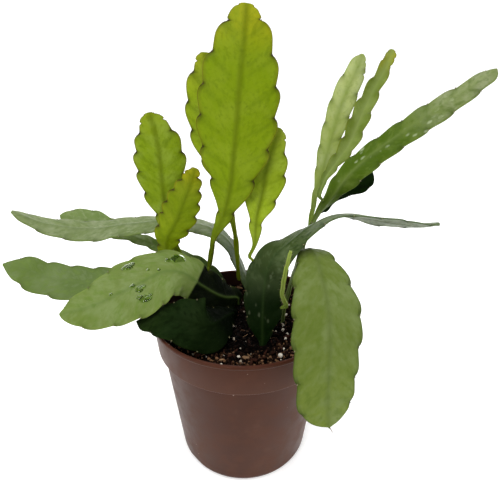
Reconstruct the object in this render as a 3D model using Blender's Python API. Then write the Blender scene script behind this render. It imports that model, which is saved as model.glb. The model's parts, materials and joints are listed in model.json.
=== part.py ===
# Potted orchid cactus: flat leafy stems and young shoots in a round nursery pot
# Frame: the origin is on the ground under the middle of the pot, +Z is up, -Y is the front.
# All sizes below are in millimetres and are turned into metres by MM.

import math
import random

import bmesh
import bpy
from mathutils import Vector, noise

MM = 0.001
GAP = 0.35

# Pot: a 120 mm nursery pot, turned, with a rim band, a foot ring and drain openings
POT_HEIGHT = 104.3
RIM_RADIUS = 60.0
BAND_HEIGHT = 21.4
BAND_FOOT_RADIUS = 57.6
BODY_TOP_RADIUS = 54.5
BASE_RADIUS = 44.9
WALL = 1.3
LIP = 0.7
LIP_DEPTH = 2.0
EDGE_ROUND = 0.5
STEP_ROUND = 0.6
FOOT_ROUND = 3.0
FLOOR_SLOPE = 2.5
FLOOR_LIFT = 3.0
CENTRE_FOOT_RADIUS = 14.0
RING_INSIDE_RADIUS = 38.0
POT_SIDES = 48
NOTCH_WIDTH = 20.0
NOTCH_HEIGHT = 4.0
NOTCH_ANGLES = (104.0, 224.0, 344.0)
DRAIN_HOLES = 6
DRAIN_HOLE_RADIUS = 3.5
DRAIN_CIRCLE_RADIUS = 27.0
DRAIN_TURN = 33.0
DRAIN_CUT = 10.0
NOTCH_CUT = 6.4

# Soil: fills the pot to a little under the rim, with a lumpy top
SOIL_TOP = 92.0
SOIL_RINGS = 8
SOIL_STEP_RISE = 1.6
LUMP_HEIGHT = 2.0
LUMPS_PER_MM = 0.11
CRUMB_HEIGHT = 1.2
CRUMBS_PER_MM = 0.35
ROOT_DEPTH = 15.0
HOLE_RISE = 12.0

# Every stem and shoot: a flat green blade with notched margins
CURVE_STEPS = 24
SLOPE_REACH = 1.5
ROWS_PER_LOBE = 6
LOBE_ROUNDNESS = 0.6
LOBE_LEAN = 2.0
LOBE_PAIRING = (0.0, 0.5)
FOLD = 0.08
WAVE = 0.03
WAVE_LENGTH = 2.3
RIB_SHARE = 0.35
RIB_LEAST = 0.9
MARGIN_THICKNESS = 0.8
NECK_FULLNESS = 9.0
TIP_WIDTH = 1.6
TIP_CUT = 0.15
FOOT_WIDTH = 1.6
NECK_WIDTH = 3.0
NECK_LENGTH = 3.0
SEAT_GAP = 0.95
SEED = 11

# Stems that stand in the soil.
# route: places along the midrib from the soil to the tip, each with the blade's width there
# and the way that its outer face looks.
STEMS = {
    "stem_main": {
        "route": (
            (12, -24, 94, 6, (-0.1, -1.0, 0.1)),
            (12, -23, 103, 16, (-0.1, -1.0, 0.1)),
            (12, -22, 113, 23, (-0.1, -1.0, 0.2)),
            (13, -20, 132, 25, (-0.2, -1.0, 0.3)),
            (17, -18, 147, 25, (-0.4, -0.7, 0.5)),
            (29, -15, 158, 24, (-0.5, -0.1, 0.85)),
            (44, -12, 169, 24, (-0.3, 0.25, 0.95)),
            (61, -10, 173, 23, (0.0, 0.35, 1.0)),
            (84, -8, 169, 21, (0.1, 0.5, 0.9)),
            (104, -6, 166, 18, (0.0, 0.45, 0.9)),
            (118, -5, 166, 12, (0.0, 0.45, 0.9)),
        ),
        "lobe": 17, "notch": 1.3, "rib": 3.0, "tip": 9, "leaf": "dark",
    },
    "stem_hanging": {
        "route": (
            (38, -12, 94, 5, (0.0, 1.0, 0.0)),
            (39, -11, 104, 7, (0.0, 1.0, 0.0)),
            (40, -8, 130, 10, (0.0, 1.0, 0.1)),
            (39, -12, 151, 13, (0.0, 0.5, 0.9)),
            (41, -25, 153, 22, (0.0, -0.4, 0.9)),
            (43, -42, 145, 34, (0.1, -0.7, 0.7)),
            (45, -54, 130, 40, (0.2, -0.9, 0.45)),
            (45, -62, 109, 39, (0.25, -0.9, 0.35)),
            (45, -66, 90, 34, (0.25, -0.9, 0.3)),
            (46, -67, 80, 30, (0.2, -0.9, 0.3)),
            (47, -68, 72, 24, (0.2, -0.9, 0.3)),
        ),
        "lobe": 17, "notch": 1.7, "rib": 3.0, "tip": 11, "pairing": (0.58, 0.6), "leaf": "mid",
    },
    "stem_long_right": {
        "route": (
            (27, 3, 94, 5, (1.0, 0.0, -0.2)),
            (28, 4, 104, 8, (1.0, 0.0, -0.2)),
            (34, 7, 128, 10, (1.0, 0.0, -0.2)),
            (40, 8, 150, 9, (1.0, 0.0, -0.3)),
            (46, 6, 168, 8, (0.7, -0.6, -0.3)),
            (54, 4, 181, 11, (0.3, -0.8, 0.1)),
            (64, 3, 195, 16, (-0.2, -0.8, 0.5)),
            (78, 1, 209, 17, (-0.4, -0.7, 0.6)),
            (103, -3, 229, 16, (-0.4, -0.7, 0.6)),
            (120, -6, 242, 12, (-0.4, -0.7, 0.6)),
            (131, -8, 251, 8, (-0.4, -0.7, 0.6)),
        ),
        "lobe": 15, "notch": 1.0, "rib": 3.2, "tip": 5, "rows": 5, "pairing": (0.25, 0.75), "leaf": "deep",
    },
    "stem_front_left": {
        "route": (
            (-5, 25, 94, 6, (0.4, -0.8, 0.4)),
            (-6, 22, 100, 14, (0.4, -0.8, 0.5)),
            (-15, 9, 108, 25, (0.3, -0.8, 0.6)),
            (-27, 1, 120, 28, (0.3, -0.7, 0.7)),
            (-38, -3, 131, 30, (0.1, -0.6, 0.8)),
            (-50, -7, 134, 37, (0.0, -0.6, 0.8)),
            (-65, -12, 128, 43, (0.0, -0.6, 0.8)),
            (-78, -17, 123, 40, (0.1, -0.6, 0.8)),
            (-92, -22, 118, 30, (0.1, -0.6, 0.8)),
            (-109, -28, 116, 12, (0.1, -0.6, 0.8)),
        ),
        "lobe": 16, "notch": 1.3, "rib": 3.0, "tip": 9, "pairing": (0.7, 0.2), "leaf": "light",
    },
    "stem_shaded": {
        "route": (
            (-7, 6, 93, 6, (0.3, -0.7, 0.6)),
            (-8, 3, 98, 11, (0.3, -0.7, 0.6)),
            (-12, -9, 103, 19, (0.2, -0.7, 0.7)),
            (-21, -28, 109, 33, (0.1, -0.8, 0.6)),
            (-36, -30, 114, 29, (0.0, -0.65, 0.75)),
            (-50, -26, 113, 24, (0.0, -0.4, 0.9)),
            (-66, -20, 106, 10, (-0.1, -0.3, 0.95)),
        ),
        "lobe": 15, "notch": 1.3, "rib": 3.0, "tip": 10, "leaf": "dark",
    },
    "stem_far_left": {
        "route": (
            (-15, 34, 93, 6, (0.3, -0.8, 0.4)),
            (-17, 34, 101, 12, (0.2, -0.8, 0.6)),
            (-34, 29, 115, 17, (0.1, -0.7, 0.7)),
            (-62, 22, 118, 21, (0.0, -0.6, 0.8)),
            (-100, 14, 115, 28, (0.0, -0.6, 0.8)),
            (-133, 10, 121, 26, (0.1, -0.6, 0.8)),
            (-148, 8, 129, 21, (0.1, -0.6, 0.8)),
            (-159, 6, 133, 8, (0.1, -0.6, 0.8)),
        ),
        "lobe": 17, "notch": 1.6, "rib": 3.0, "tip": 10, "leaf": "light",
    },
    "stem_ribbon_left": {
        "route": (
            (2, 43, 93, 6, (0.9, -0.3, 0.1)),
            (1, 43, 102, 12, (0.9, -0.3, 0.1)),
            (-5, 42, 121, 18, (0.9, -0.2, 0.3)),
            (-12, 41, 136, 20, (0.8, -0.2, 0.6)),
            (-24, 41, 146, 21, (0.4, -0.2, 0.9)),
            (-40, 41, 150, 22, (0.0, -0.15, 1.0)),
            (-62, 41, 151, 24, (0.0, -0.2, 1.0)),
            (-88, 39, 149, 26, (0.0, -0.25, 1.0)),
            (-110, 36, 147, 26, (0.0, -0.3, 1.0)),
            (-138, 31, 152, 20, (0.0, -0.3, 1.0)),
            (-157, 24, 164, 7, (0.1, -0.3, 1.0)),
        ),
        "lobe": 18, "notch": 1.0, "rib": 2.6, "tip": 8, "rows": 4, "leaf": "grey",
    },
    "stem_back_left": {
        "route": (
            (-17, 46, 93, 6, (0.2, -0.8, 0.3)),
            (-20, 47, 102, 9, (0.2, -0.8, 0.4)),
            (-34, 50, 114, 10, (0.1, -0.8, 0.5)),
            (-54, 53, 121, 10, (0.1, -0.8, 0.5)),
            (-74, 56, 129, 10, (0.0, -0.9, 0.4)),
            (-90, 59, 134, 11, (0.0, -0.6, 0.8)),
            (-107, 61, 140, 18, (0.0, -0.7, 0.7)),
            (-124, 62, 146, 20, (0.0, -0.7, 0.7)),
            (-144, 62, 149, 12, (0.0, -0.7, 0.7)),
        ),
        "lobe": 15, "notch": 1.2, "rib": 2.6, "tip": 8, "rows": 4, "leaf": "light",
    },
}

# Young shoots, each from a notch in the margin of an older stem.
# parent: the stem, roughly how far along it the foot is, and on which of its two margins.
SHOOTS = {
    "shoot_tall": {
        "parent": ("stem_front_left", 46, 1),
        "route": (
            (-20, 9, 150, 5, (-0.5, -1.0, 0.2)),
            (-15, 10, 161, 9, (-0.4, -1.0, 0.2)),
            (-11, 10, 172, 18, (-0.3, -1.0, 0.2)),
            (-8, 10, 187, 30, (-0.1, -1.0, 0.1)),
            (-6, 10, 205, 43, (-0.1, -1.0, 0.1)),
            (-4, 10, 224, 49, (0.0, -1.0, 0.1)),
            (-2, 9, 246, 46, (0.0, -1.0, 0.1)),
            (0, 8, 263, 36, (0.0, -1.0, 0.1)),
            (1, 7, 275, 25, (0.0, -1.0, 0.1)),
            (2, 6, 283, 12, (0.0, -1.0, 0.1)),
        ),
        "lobe": 19.5, "notch": 2.6, "rib": 2.0, "tip": 7, "rows": 8,
        "pairing": (0.57, 0.45), "crowding": 1.3, "leaf": "young",
    },
    "shoot_behind_left": {
        "parent": ("stem_ribbon_left", 27, -1),
        "route": (
            (-6, 29, 142, 4, (0.0, -1.0, 0.1)),
            (-9, 29, 160, 5, (0.0, -1.0, 0.1)),
            (-15, 28, 185, 13, (0.0, -1.0, 0.1)),
            (-22, 26, 211, 23, (0.0, -1.0, 0.1)),
            (-24, 23, 238, 24, (0.0, -1.0, 0.1)),
            (-22, 20, 261, 10, (0.0, -1.0, 0.1)),
        ),
        "lobe": 19.5, "notch": 2.2, "rib": 1.8, "tip": 8,
        "pairing": (0.73, 0.7), "crowding": 1.3, "leaf": "young",
    },
    "shoot_behind_right": {
        "parent": ("stem_main", 51, -1),
        "route": (
            (7, -4, 153, 4, (0.0, -1.0, 0.3)),
            (8, 9, 164, 12, (0.0, -1.0, 0.5)),
            (12, 17, 180, 25, (0.0, -1.0, 0.2)),
            (15, 19, 197, 27, (0.0, -1.0, 0.1)),
            (22, 24, 219, 9, (0.0, -1.0, 0.1)),
        ),
        "lobe": 17.5, "notch": 2.0, "rib": 1.8, "tip": 8,
        "pairing": (0.9, 0.0), "crowding": 1.3, "leaf": "young",
    },
    "shoot_left": {
        "parent": ("stem_far_left", 42, 1),
        "route": (
            (-51, 27, 143, 7, (0.0, -1.0, 0.1)),
            (-53, 26, 162, 18, (0.0, -1.0, 0.1)),
            (-54, 25, 179, 29, (0.1, -1.0, 0.1)),
            (-54, 24, 197, 34, (0.1, -1.0, 0.1)),
            (-55, 23, 213, 28, (0.1, -1.0, 0.1)),
            (-58, 22, 228, 10, (0.1, -1.0, 0.1)),
        ),
        "lobe": 15.7, "notch": 2.2, "rib": 1.8, "tip": 7,
        "pairing": (0.9, 0.05), "crowding": 1.3, "leaf": "young",
    },
    "shoot_yellow": {
        "parent": ("stem_far_left", 60, 1),
        "route": (
            (-55, 21, 132, 7, (0.1, -1.0, 0.1)),
            (-52, 20, 147, 19, (0.1, -1.0, 0.1)),
            (-45, 20, 160, 25, (0.1, -1.0, 0.1)),
            (-40, 20, 172, 24, (0.1, -1.0, 0.1)),
            (-35, 19, 184, 17, (0.1, -1.0, 0.1)),
            (-31, 18, 195, 8, (0.1, -1.0, 0.1)),
        ),
        "lobe": 10.5, "notch": 2.0, "rib": 1.8, "tip": 5,
        "pairing": (0.3, 0.7), "crowding": 1.3, "leaf": "yellow",
    },
    "shoot_right_pale": {
        "parent": ("stem_long_right", 66, 1),
        "route": (
            (45, 15, 174, 4, (-0.2, -1.0, 0.1)),
            (47, 16, 185, 6, (-0.3, -1.0, 0.1)),
            (50, 17, 197, 11, (-0.3, -1.0, 0.1)),
            (54, 18, 217, 14, (-0.3, -1.0, 0.1)),
            (59, 17, 237, 15, (-0.3, -1.0, 0.1)),
            (64, 16, 251, 12, (-0.3, -1.0, 0.1)),
            (67, 15, 260, 7, (-0.3, -1.0, 0.1)),
        ),
        "lobe": 14, "notch": 0.8, "rib": 1.8, "tip": 5, "rows": 4, "leaf": "pale",
    },
    "shoot_right_folded": {
        "parent": ("stem_long_right", 84, -1),
        "route": (
            (48, 7, 187, 4, (-0.3, -1.0, 0.2)),
            (53, 12, 195, 7, (-0.3, -1.0, 0.2)),
            (63, 13, 210, 11, (-0.3, -1.0, 0.2)),
            (69, 13, 227, 12, (-0.3, -1.0, 0.2)),
            (74, 12, 241, 10, (-0.3, -1.0, 0.2)),
            (79, 11, 252, 8, (-0.3, -1.0, 0.2)),
            (82, 11, 262, 7, (-0.3, -1.0, 0.2)),
        ),
        "lobe": 12, "notch": 1.4, "rib": 1.8, "tip": 4, "fold": -0.4, "pairing": (0.4, 0.87), "leaf": "pale",
    },
    "shoot_right_small": {
        "parent": ("stem_long_right", 78, 1),
        "route": (
            (58, 10, 178, 5, (0.1, -0.9, 0.1)),
            (69, 12, 188, 19, (0.1, -0.9, 0.1)),
            (79, 12, 195, 18, (0.1, -0.9, 0.1)),
        ),
        "lobe": 12, "notch": 0.8, "rib": 1.6, "tip": 5, "rows": 4, "leaf": "dark",
    },
    "shoot_stick": {
        "parent": ("stem_main", 25, 1),
        "route": (
            (23, -27, 129, 2.6, (0.0, -1.0, 0.1)),
            (23, -30, 138, 2.6, (0.0, -1.0, 0.1)),
            (24, -32, 148, 2.4, (0.0, -1.0, 0.1)),
            (26, -34, 160, 2.0, (0.0, -1.0, 0.1)),
        ),
        "lobe": 10, "notch": 0.2, "rib": 2.2, "tip": 2, "rows": 4, "leaf": "young",
    },
}


def empty_scene():
    for old in list(bpy.data.objects):
        bpy.data.objects.remove(old, do_unlink=True)


def material(name, colour, roughness):
    """A Principled BSDF material with the piece's colour and roughness."""
    made = bpy.data.materials.new(name)
    made.use_nodes = True
    shader = made.node_tree.nodes["Principled BSDF"]
    shader.inputs["Base Color"].default_value = (*colour, 1.0)
    shader.inputs["Roughness"].default_value = roughness
    shader.inputs["Metallic"].default_value = 0.0
    return made


def add_object(name, vertices, faces, look=None, smooth_angle=None):
    """One mesh object from points in millimetres."""
    mesh = bpy.data.meshes.new(name)
    mesh.from_pydata([Vector(v) * MM for v in vertices], [], faces)
    mesh.validate()
    mesh.update()
    made = bpy.data.objects.new(name, mesh)
    bpy.context.collection.objects.link(made)
    if look:
        mesh.materials.append(look)
    if smooth_angle:
        mesh.shade_smooth()
        mesh.set_sharp_from_angle(angle=math.radians(smooth_angle))
    return made


def cut(target, cutter):
    """Take the cutter's shape out of the target, and keep the cutter hidden."""
    cutter.hide_render = True
    cutter.display_type = "WIRE"
    boolean = target.modifiers.new(cutter.name, "BOOLEAN")
    boolean.operation = "DIFFERENCE"
    boolean.solver = "EXACT"
    boolean.object = cutter


def turned(name, profile, sides, look=None):
    """A closed turned solid. The profile runs down the outside, from axis to axis."""
    vertices = []
    rings = []
    for radius, height in profile:
        if radius < 1e-6:
            rings.append([len(vertices)])
            vertices.append((0.0, 0.0, height))
            continue
        ring = []
        for k in range(sides):
            angle = math.tau * k / sides
            ring.append(len(vertices))
            vertices.append((radius * math.cos(angle), radius * math.sin(angle), height))
        rings.append(ring)
    faces = []
    for upper, lower in zip(rings, rings[1:]):
        for k in range(sides):
            after = (k + 1) % sides
            if len(upper) == 1:
                faces.append((upper[0], lower[k], lower[after]))
            elif len(lower) == 1:
                faces.append((upper[k], lower[0], upper[after]))
            else:
                faces.append((upper[k], lower[k], lower[after], upper[after]))
    return add_object(name, vertices, faces, look, 35)


def pot_wall_radius(height):
    """Outside radius of the pot's tapered body under the rim band."""
    share = height / (POT_HEIGHT - BAND_HEIGHT)
    return BASE_RADIUS + (BODY_TOP_RADIUS - BASE_RADIUS) * share


def make_pot():
    """The turned pot, with its drain holes and foot notches cut."""
    band_foot = POT_HEIGHT - BAND_HEIGHT
    floor_out = [
        (0.0, WALL),
        (CENTRE_FOOT_RADIUS - WALL, WALL),
        (CENTRE_FOOT_RADIUS + FLOOR_SLOPE - WALL / 2, WALL + FLOOR_LIFT),
        (RING_INSIDE_RADIUS, WALL + FLOOR_LIFT),
        (RING_INSIDE_RADIUS + FLOOR_SLOPE, WALL),
        (BASE_RADIUS - 2 * WALL, WALL),
    ]
    inside_up = [
        (pot_wall_radius(FOOT_ROUND) - WALL, FOOT_ROUND),
        (BODY_TOP_RADIUS - WALL, band_foot + STEP_ROUND),
        (BAND_FOOT_RADIUS - WALL, band_foot + 2 * STEP_ROUND),
        (RIM_RADIUS - WALL - LIP, POT_HEIGHT - EDGE_ROUND),
        (RIM_RADIUS - WALL - LIP + EDGE_ROUND, POT_HEIGHT),
    ]
    outside_down = [
        (RIM_RADIUS - EDGE_ROUND, POT_HEIGHT),
        (RIM_RADIUS, POT_HEIGHT - EDGE_ROUND),
        (RIM_RADIUS, POT_HEIGHT - LIP_DEPTH),
        (RIM_RADIUS - LIP, POT_HEIGHT - LIP_DEPTH - STEP_ROUND),
        (BAND_FOOT_RADIUS, band_foot + STEP_ROUND),
        (BAND_FOOT_RADIUS - STEP_ROUND, band_foot),
        (BODY_TOP_RADIUS, band_foot - STEP_ROUND / 2),
        (pot_wall_radius(FOOT_ROUND), FOOT_ROUND),
        (BASE_RADIUS - FOOT_ROUND / 4, FOOT_ROUND / 4),
        (BASE_RADIUS - FOOT_ROUND * 3 / 4, 0.0),
        (RING_INSIDE_RADIUS + FLOOR_SLOPE / 2, 0.0),
        (RING_INSIDE_RADIUS - WALL / 2, FLOOR_LIFT),
        (CENTRE_FOOT_RADIUS + FLOOR_SLOPE, FLOOR_LIFT),
        (CENTRE_FOOT_RADIUS, 0.0),
        (0.0, 0.0),
    ]
    look = material("pot_plastic", (0.13, 0.055, 0.035), 0.42)
    pot = turned("pot", floor_out + inside_up + outside_down, POT_SIDES, look)
    for number in range(DRAIN_HOLES):
        angle = math.tau * number / DRAIN_HOLES + math.radians(DRAIN_TURN)
        place = Vector((math.cos(angle), math.sin(angle), 0.0)) * DRAIN_CIRCLE_RADIUS
        hole = cylinder(f"drain_cutter_{number}", DRAIN_HOLE_RADIUS, place, Vector((0, 0, 1)), DRAIN_CUT, 16)
        cut(pot, hole)
    notch_radius = (NOTCH_WIDTH ** 2 / 4 + NOTCH_HEIGHT ** 2) / (2 * NOTCH_HEIGHT)
    for number, degrees in enumerate(NOTCH_ANGLES):
        angle = math.radians(degrees)
        outward = Vector((math.cos(angle), math.sin(angle), 0.0))
        place = outward * (BASE_RADIUS + WALL) + Vector((0, 0, NOTCH_HEIGHT - notch_radius))
        notch = cylinder(f"notch_cutter_{number}", notch_radius, place, outward, NOTCH_CUT, 38)
        cut(pot, notch)
    return pot


def cylinder(name, radius, middle, axis, half_length, sides):
    """A closed cylinder along an axis, used as a cutter."""
    mesh = bpy.data.meshes.new(name)
    shape = bmesh.new()
    bmesh.ops.create_cone(
        shape, cap_ends=True, segments=sides, radius1=radius * MM, radius2=radius * MM,
        depth=2 * half_length * MM,
    )
    shape.to_mesh(mesh)
    shape.free()
    made = bpy.data.objects.new(name, mesh)
    bpy.context.collection.objects.link(made)
    made.rotation_euler = axis.to_track_quat("Z", "Y").to_euler()
    made.location = middle * MM
    return made


def smooth_path(route):
    """Points, widths and facings on a Catmull-Rom curve through the route, evenly fine."""
    rows = [list(p[:4]) + list(p[4]) for p in route]
    first = [2 * a - b for a, b in zip(rows[0], rows[1])]
    last = [2 * a - b for a, b in zip(rows[-1], rows[-2])]
    padded = [first] + rows + [last]
    samples = []
    for k in range(len(rows) - 1):
        p0, p1, p2, p3 = padded[k:k + 4]
        for step in range(CURVE_STEPS):
            t = step / CURVE_STEPS
            samples.append([
                0.5 * (2 * b + (c - a) * t + (2 * a - 5 * b + 4 * c - d) * t * t
                       + (3 * b - a - 3 * c + d) * t ** 3)
                for a, b, c, d in zip(p0, p1, p2, p3)
            ])
    samples.append(rows[-1])
    return samples


class Blade:
    """A flat stem: its midrib, its frame along the midrib, and its two margins."""

    def __init__(self, name, plan, rng):
        self.name = name
        self.plan = plan
        self.samples = smooth_path(plan["route"])
        self.lengths = [0.0]
        for a, b in zip(self.samples, self.samples[1:]):
            self.lengths.append(self.lengths[-1] + (Vector(b[:3]) - Vector(a[:3])).length)
        self.length = self.lengths[-1]
        self.lobes = max(3, round(self.length / plan["lobe"]))
        self.pitch = self.length / self.lobes
        self.rows_per_lobe = plan.get("rows", ROWS_PER_LOBE)
        self.pairing = plan.get("pairing", LOBE_PAIRING)
        self.crowding = plan.get("crowding", 1.0)
        self.fold = plan.get("fold", FOLD)
        self.phase = rng.random()

    def at(self, distance):
        """Midrib point, width and facing at a distance along the midrib."""
        distance = min(max(distance, 0.0), self.length)
        for k in range(len(self.lengths) - 1):
            if distance <= self.lengths[k + 1] + 1e-9:
                break
        span = self.lengths[k + 1] - self.lengths[k]
        share = (distance - self.lengths[k]) / span if span else 0.0
        return [a + (b - a) * share for a, b in zip(self.samples[k], self.samples[k + 1])]

    def frame(self, distance):
        """Point, width, and the along, across and outward directions there."""
        here = self.at(distance)
        before = Vector(self.at(distance - SLOPE_REACH)[:3])
        after = Vector(self.at(distance + SLOPE_REACH)[:3])
        along = (after - before).normalized()
        outward = Vector(here[4:7])
        outward = (outward - along * outward.dot(along)).normalized()
        across = along.cross(outward).normalized()
        return Vector(here[:3]), here[3], along, across, outward

    def lobe_shift(self, side):
        """Share of a lobe by which the notches of one margin are moved towards the root."""
        return self.pairing[1 if side > 0 else 0]

    def lobe_turn(self, distance, side):
        """Place within a lobe: 0 at the notch below it, 1 at the notch above. Lobes crowd to the tip."""
        share = max(distance, 0.0) / self.length
        return (self.lobes * share ** self.crowding + self.lobe_shift(side)) % 1.0

    def half_width(self, distance, side):
        """Half of the blade's width on one side, with its lobes and its rounded tip."""
        width = self.at(distance)[3] / 2
        left = self.length - distance
        tip = self.plan["tip"]
        if left < tip:
            width *= math.sqrt(max(0.0, 1 - (1 - left / tip) ** 2))
        turn = self.lobe_turn(distance, side)
        bump = math.sin(math.pi * turn ** LOBE_LEAN) ** LOBE_ROUNDNESS
        notch = min(self.plan["notch"], width * 0.3)
        return max(width - notch * (1 - bump), TIP_WIDTH / 2)

    def margin(self, distance, side):
        """A point on the blade's margin, with its fold and wave."""
        point, _, _, across, outward = self.frame(distance)
        half = self.half_width(distance, side)
        turn = distance / (WAVE_LENGTH * self.pitch) + self.phase
        lift = half * (WAVE * math.sin(math.tau * turn + side) - self.fold)
        return point + across * half * side + outward * lift

    def row(self, distance):
        """Six points round the blade: front and back of both margins and of the midrib."""
        point, width, _, across, outward = self.frame(distance)
        rib = min(self.plan["rib"], RIB_SHARE * width + RIB_LEAST) / 2
        edge = max(MARGIN_THICKNESS, min(rib * 1.2, NECK_FULLNESS / max(width, 1.0))) / 2
        left, right = self.margin(distance, -1), self.margin(distance, 1)
        return (
            [left + outward * edge, point + outward * rib, right + outward * edge],
            [left - outward * edge, point - outward * rib, right - outward * edge],
        )

    def stations(self):
        count = self.lobes * self.rows_per_lobe
        spots = [self.length * k / count for k in range(count)]
        return spots + [self.length - TIP_CUT]


def blade_mesh(rows):
    """Closed mesh through rows of six points, split into triangles alike on both faces."""
    vertices = []
    faces = []
    for front, back in rows:
        vertices += front + back
    for k in range(len(rows) - 1):
        a, b = 6 * k, 6 * (k + 1)
        for j in (0, 1):
            faces += [(a + j, a + j + 1, b + j + 1), (a + j, b + j + 1, b + j)]
            faces += [(a + 3 + j, b + 4 + j, a + 4 + j), (a + 3 + j, b + 3 + j, b + 4 + j)]
        faces += [(a, b, b + 3), (a, b + 3, a + 3)]
        faces += [(a + 2, b + 5, b + 2), (a + 2, a + 5, b + 5)]
    end = 6 * (len(rows) - 1)
    for first, turn in ((0, 1), (end, -1)):
        loop = [first, first + 3, first + 4, first + 5, first + 2, first + 1][::turn]
        for k in range(1, 5):
            faces.append((loop[0], loop[k], loop[k + 1]))
    return vertices, faces


def make_blade(blade, look, rooted):
    """The solid blade. A rooted one goes straight on down into the soil."""
    rows = [blade.row(spot) for spot in blade.stations()]
    if rooted:
        _, _, along, _, _ = blade.frame(0.0)
        down = along * -ROOT_DEPTH
        front, back = rows[0]
        rows.insert(0, ([p + down for p in front], [p + down for p in back]))
    vertices, faces = blade_mesh(rows)
    return add_object(blade.name, vertices, faces, look, 50)


def root_cutter(blade):
    """A plain box hole round the straight foot of a rooted stem."""
    point, width, along, across, outward = blade.frame(0.0)
    half_across = blade.half_width(0.0, 1) + GAP + blade.plan["notch"]
    half_out = blade.plan["rib"] / 2 + GAP + blade.fold * width / 2
    vertices = []
    for distance in (-ROOT_DEPTH - GAP, HOLE_RISE):
        middle = point + along * distance
        for a, b in ((-1, -1), (1, -1), (1, 1), (-1, 1)):
            vertices.append(middle + across * half_across * a + outward * half_out * b)
    faces = [(0, 1, 2, 3), (7, 6, 5, 4)]
    for k in range(4):
        after = (k + 1) % 4
        faces.append((after, k, k + 4, after + 4))
    return add_object(f"{blade.name}_hole", vertices, faces)


def make_soil(blades):
    """The soil: a lumpy plug inside the pot, with a hole for each rooted stem."""
    band_foot = POT_HEIGHT - BAND_HEIGHT
    floor = WALL + FLOOR_LIFT + GAP
    top_radius = BAND_FOOT_RADIUS - WALL - GAP
    profile = [(0.0, SOIL_TOP)]
    for ring in range(1, SOIL_RINGS + 1):
        profile.append((top_radius * ring / SOIL_RINGS, SOIL_TOP))
    step = band_foot + 2 * STEP_ROUND + GAP
    profile += [
        (top_radius, step + SOIL_STEP_RISE),
        (BODY_TOP_RADIUS - WALL - GAP, step),
        (pot_wall_radius(floor) - WALL - 2 * GAP, floor),
        (0.0, floor),
    ]
    look = material("soil_mix", (0.03, 0.018, 0.012), 0.95)
    soil = turned("soil", profile, POT_SIDES, look)
    for vertex in soil.data.vertices:
        place = vertex.co / MM
        if place.z > step + SOIL_STEP_RISE + GAP:
            lump = noise.noise(Vector((place.x, place.y, 0.0)) * LUMPS_PER_MM)
            crumb = noise.noise(Vector((place.x, place.y, 0.0)) * CRUMBS_PER_MM)
            vertex.co.z += (lump * LUMP_HEIGHT + crumb * CRUMB_HEIGHT) * MM
    for blade in blades:
        cut(soil, root_cutter(blade))
    return soil


def shoot_route(plan, parent):
    """Route of a shoot, from its seat in a notch of the parent's margin."""
    _, distance, side = plan["parent"]
    distance = nearest_notch(parent, distance, side)
    seat = parent.margin(distance, side)
    _, _, _, across, _ = parent.frame(distance)
    away = across * side
    facing = plan["route"][0][4]
    foot = seat + away * SEAT_GAP
    onward = (Vector(plan["route"][0][:3]) - foot).normalized()
    neck = foot + (away + onward).normalized() * NECK_LENGTH
    first = (*foot, FOOT_WIDTH, facing)
    second = (*neck, NECK_WIDTH, facing)
    return (first, second) + plan["route"]


def nearest_notch(parent, distance, side):
    """The notch on that margin that lies nearest to a distance along the stem."""
    shift = parent.lobe_shift(side)
    turn = round(distance / parent.pitch + shift)
    return (turn - shift) * parent.pitch


def build():
    empty_scene()
    rng = random.Random(SEED)
    looks = {
        "dark": material("leaf_dark", (0.035, 0.09, 0.025), 0.45),
        "mid": material("leaf_mid", (0.19, 0.27, 0.08), 0.45),
        "light": material("leaf_light", (0.22, 0.31, 0.11), 0.45),
        "grey": material("leaf_grey", (0.26, 0.31, 0.17), 0.45),
        "deep": material("leaf_deep", (0.11, 0.19, 0.03), 0.4),
        "pale": material("leaf_pale", (0.33, 0.41, 0.13), 0.4),
        "young": material("leaf_young", (0.22, 0.30, 0.02), 0.4),
        "yellow": material("leaf_yellow", (0.33, 0.31, 0.012), 0.4),
    }
    make_pot()
    blades = {}
    for name, plan in STEMS.items():
        blades[name] = Blade(name, plan, rng)
        make_blade(blades[name], looks[plan["leaf"]], True)
    make_soil(list(blades.values()))
    for name, plan in SHOOTS.items():
        full = dict(plan)
        full["route"] = shoot_route(plan, blades[plan["parent"][0]])
        blades[name] = Blade(name, full, rng)
        make_blade(blades[name], looks[plan["leaf"]], False)


build()
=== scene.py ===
# Looks of the potted orchid cactus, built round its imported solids
# Sizes are in millimetres, as in the solids, and MM turns them into metres. The camera, the tent and the
# lights are in metres. Colours are sRGB values from 0 to 255 as they look in this light. tone() makes
# them linear and divides them by the brightness that a white sheet has here.

import json
import math
import random
from types import SimpleNamespace

import bmesh
import bpy
import numpy as np
from mathutils import Matrix, Vector, noise
from mathutils.kdtree import KDTree

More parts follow.
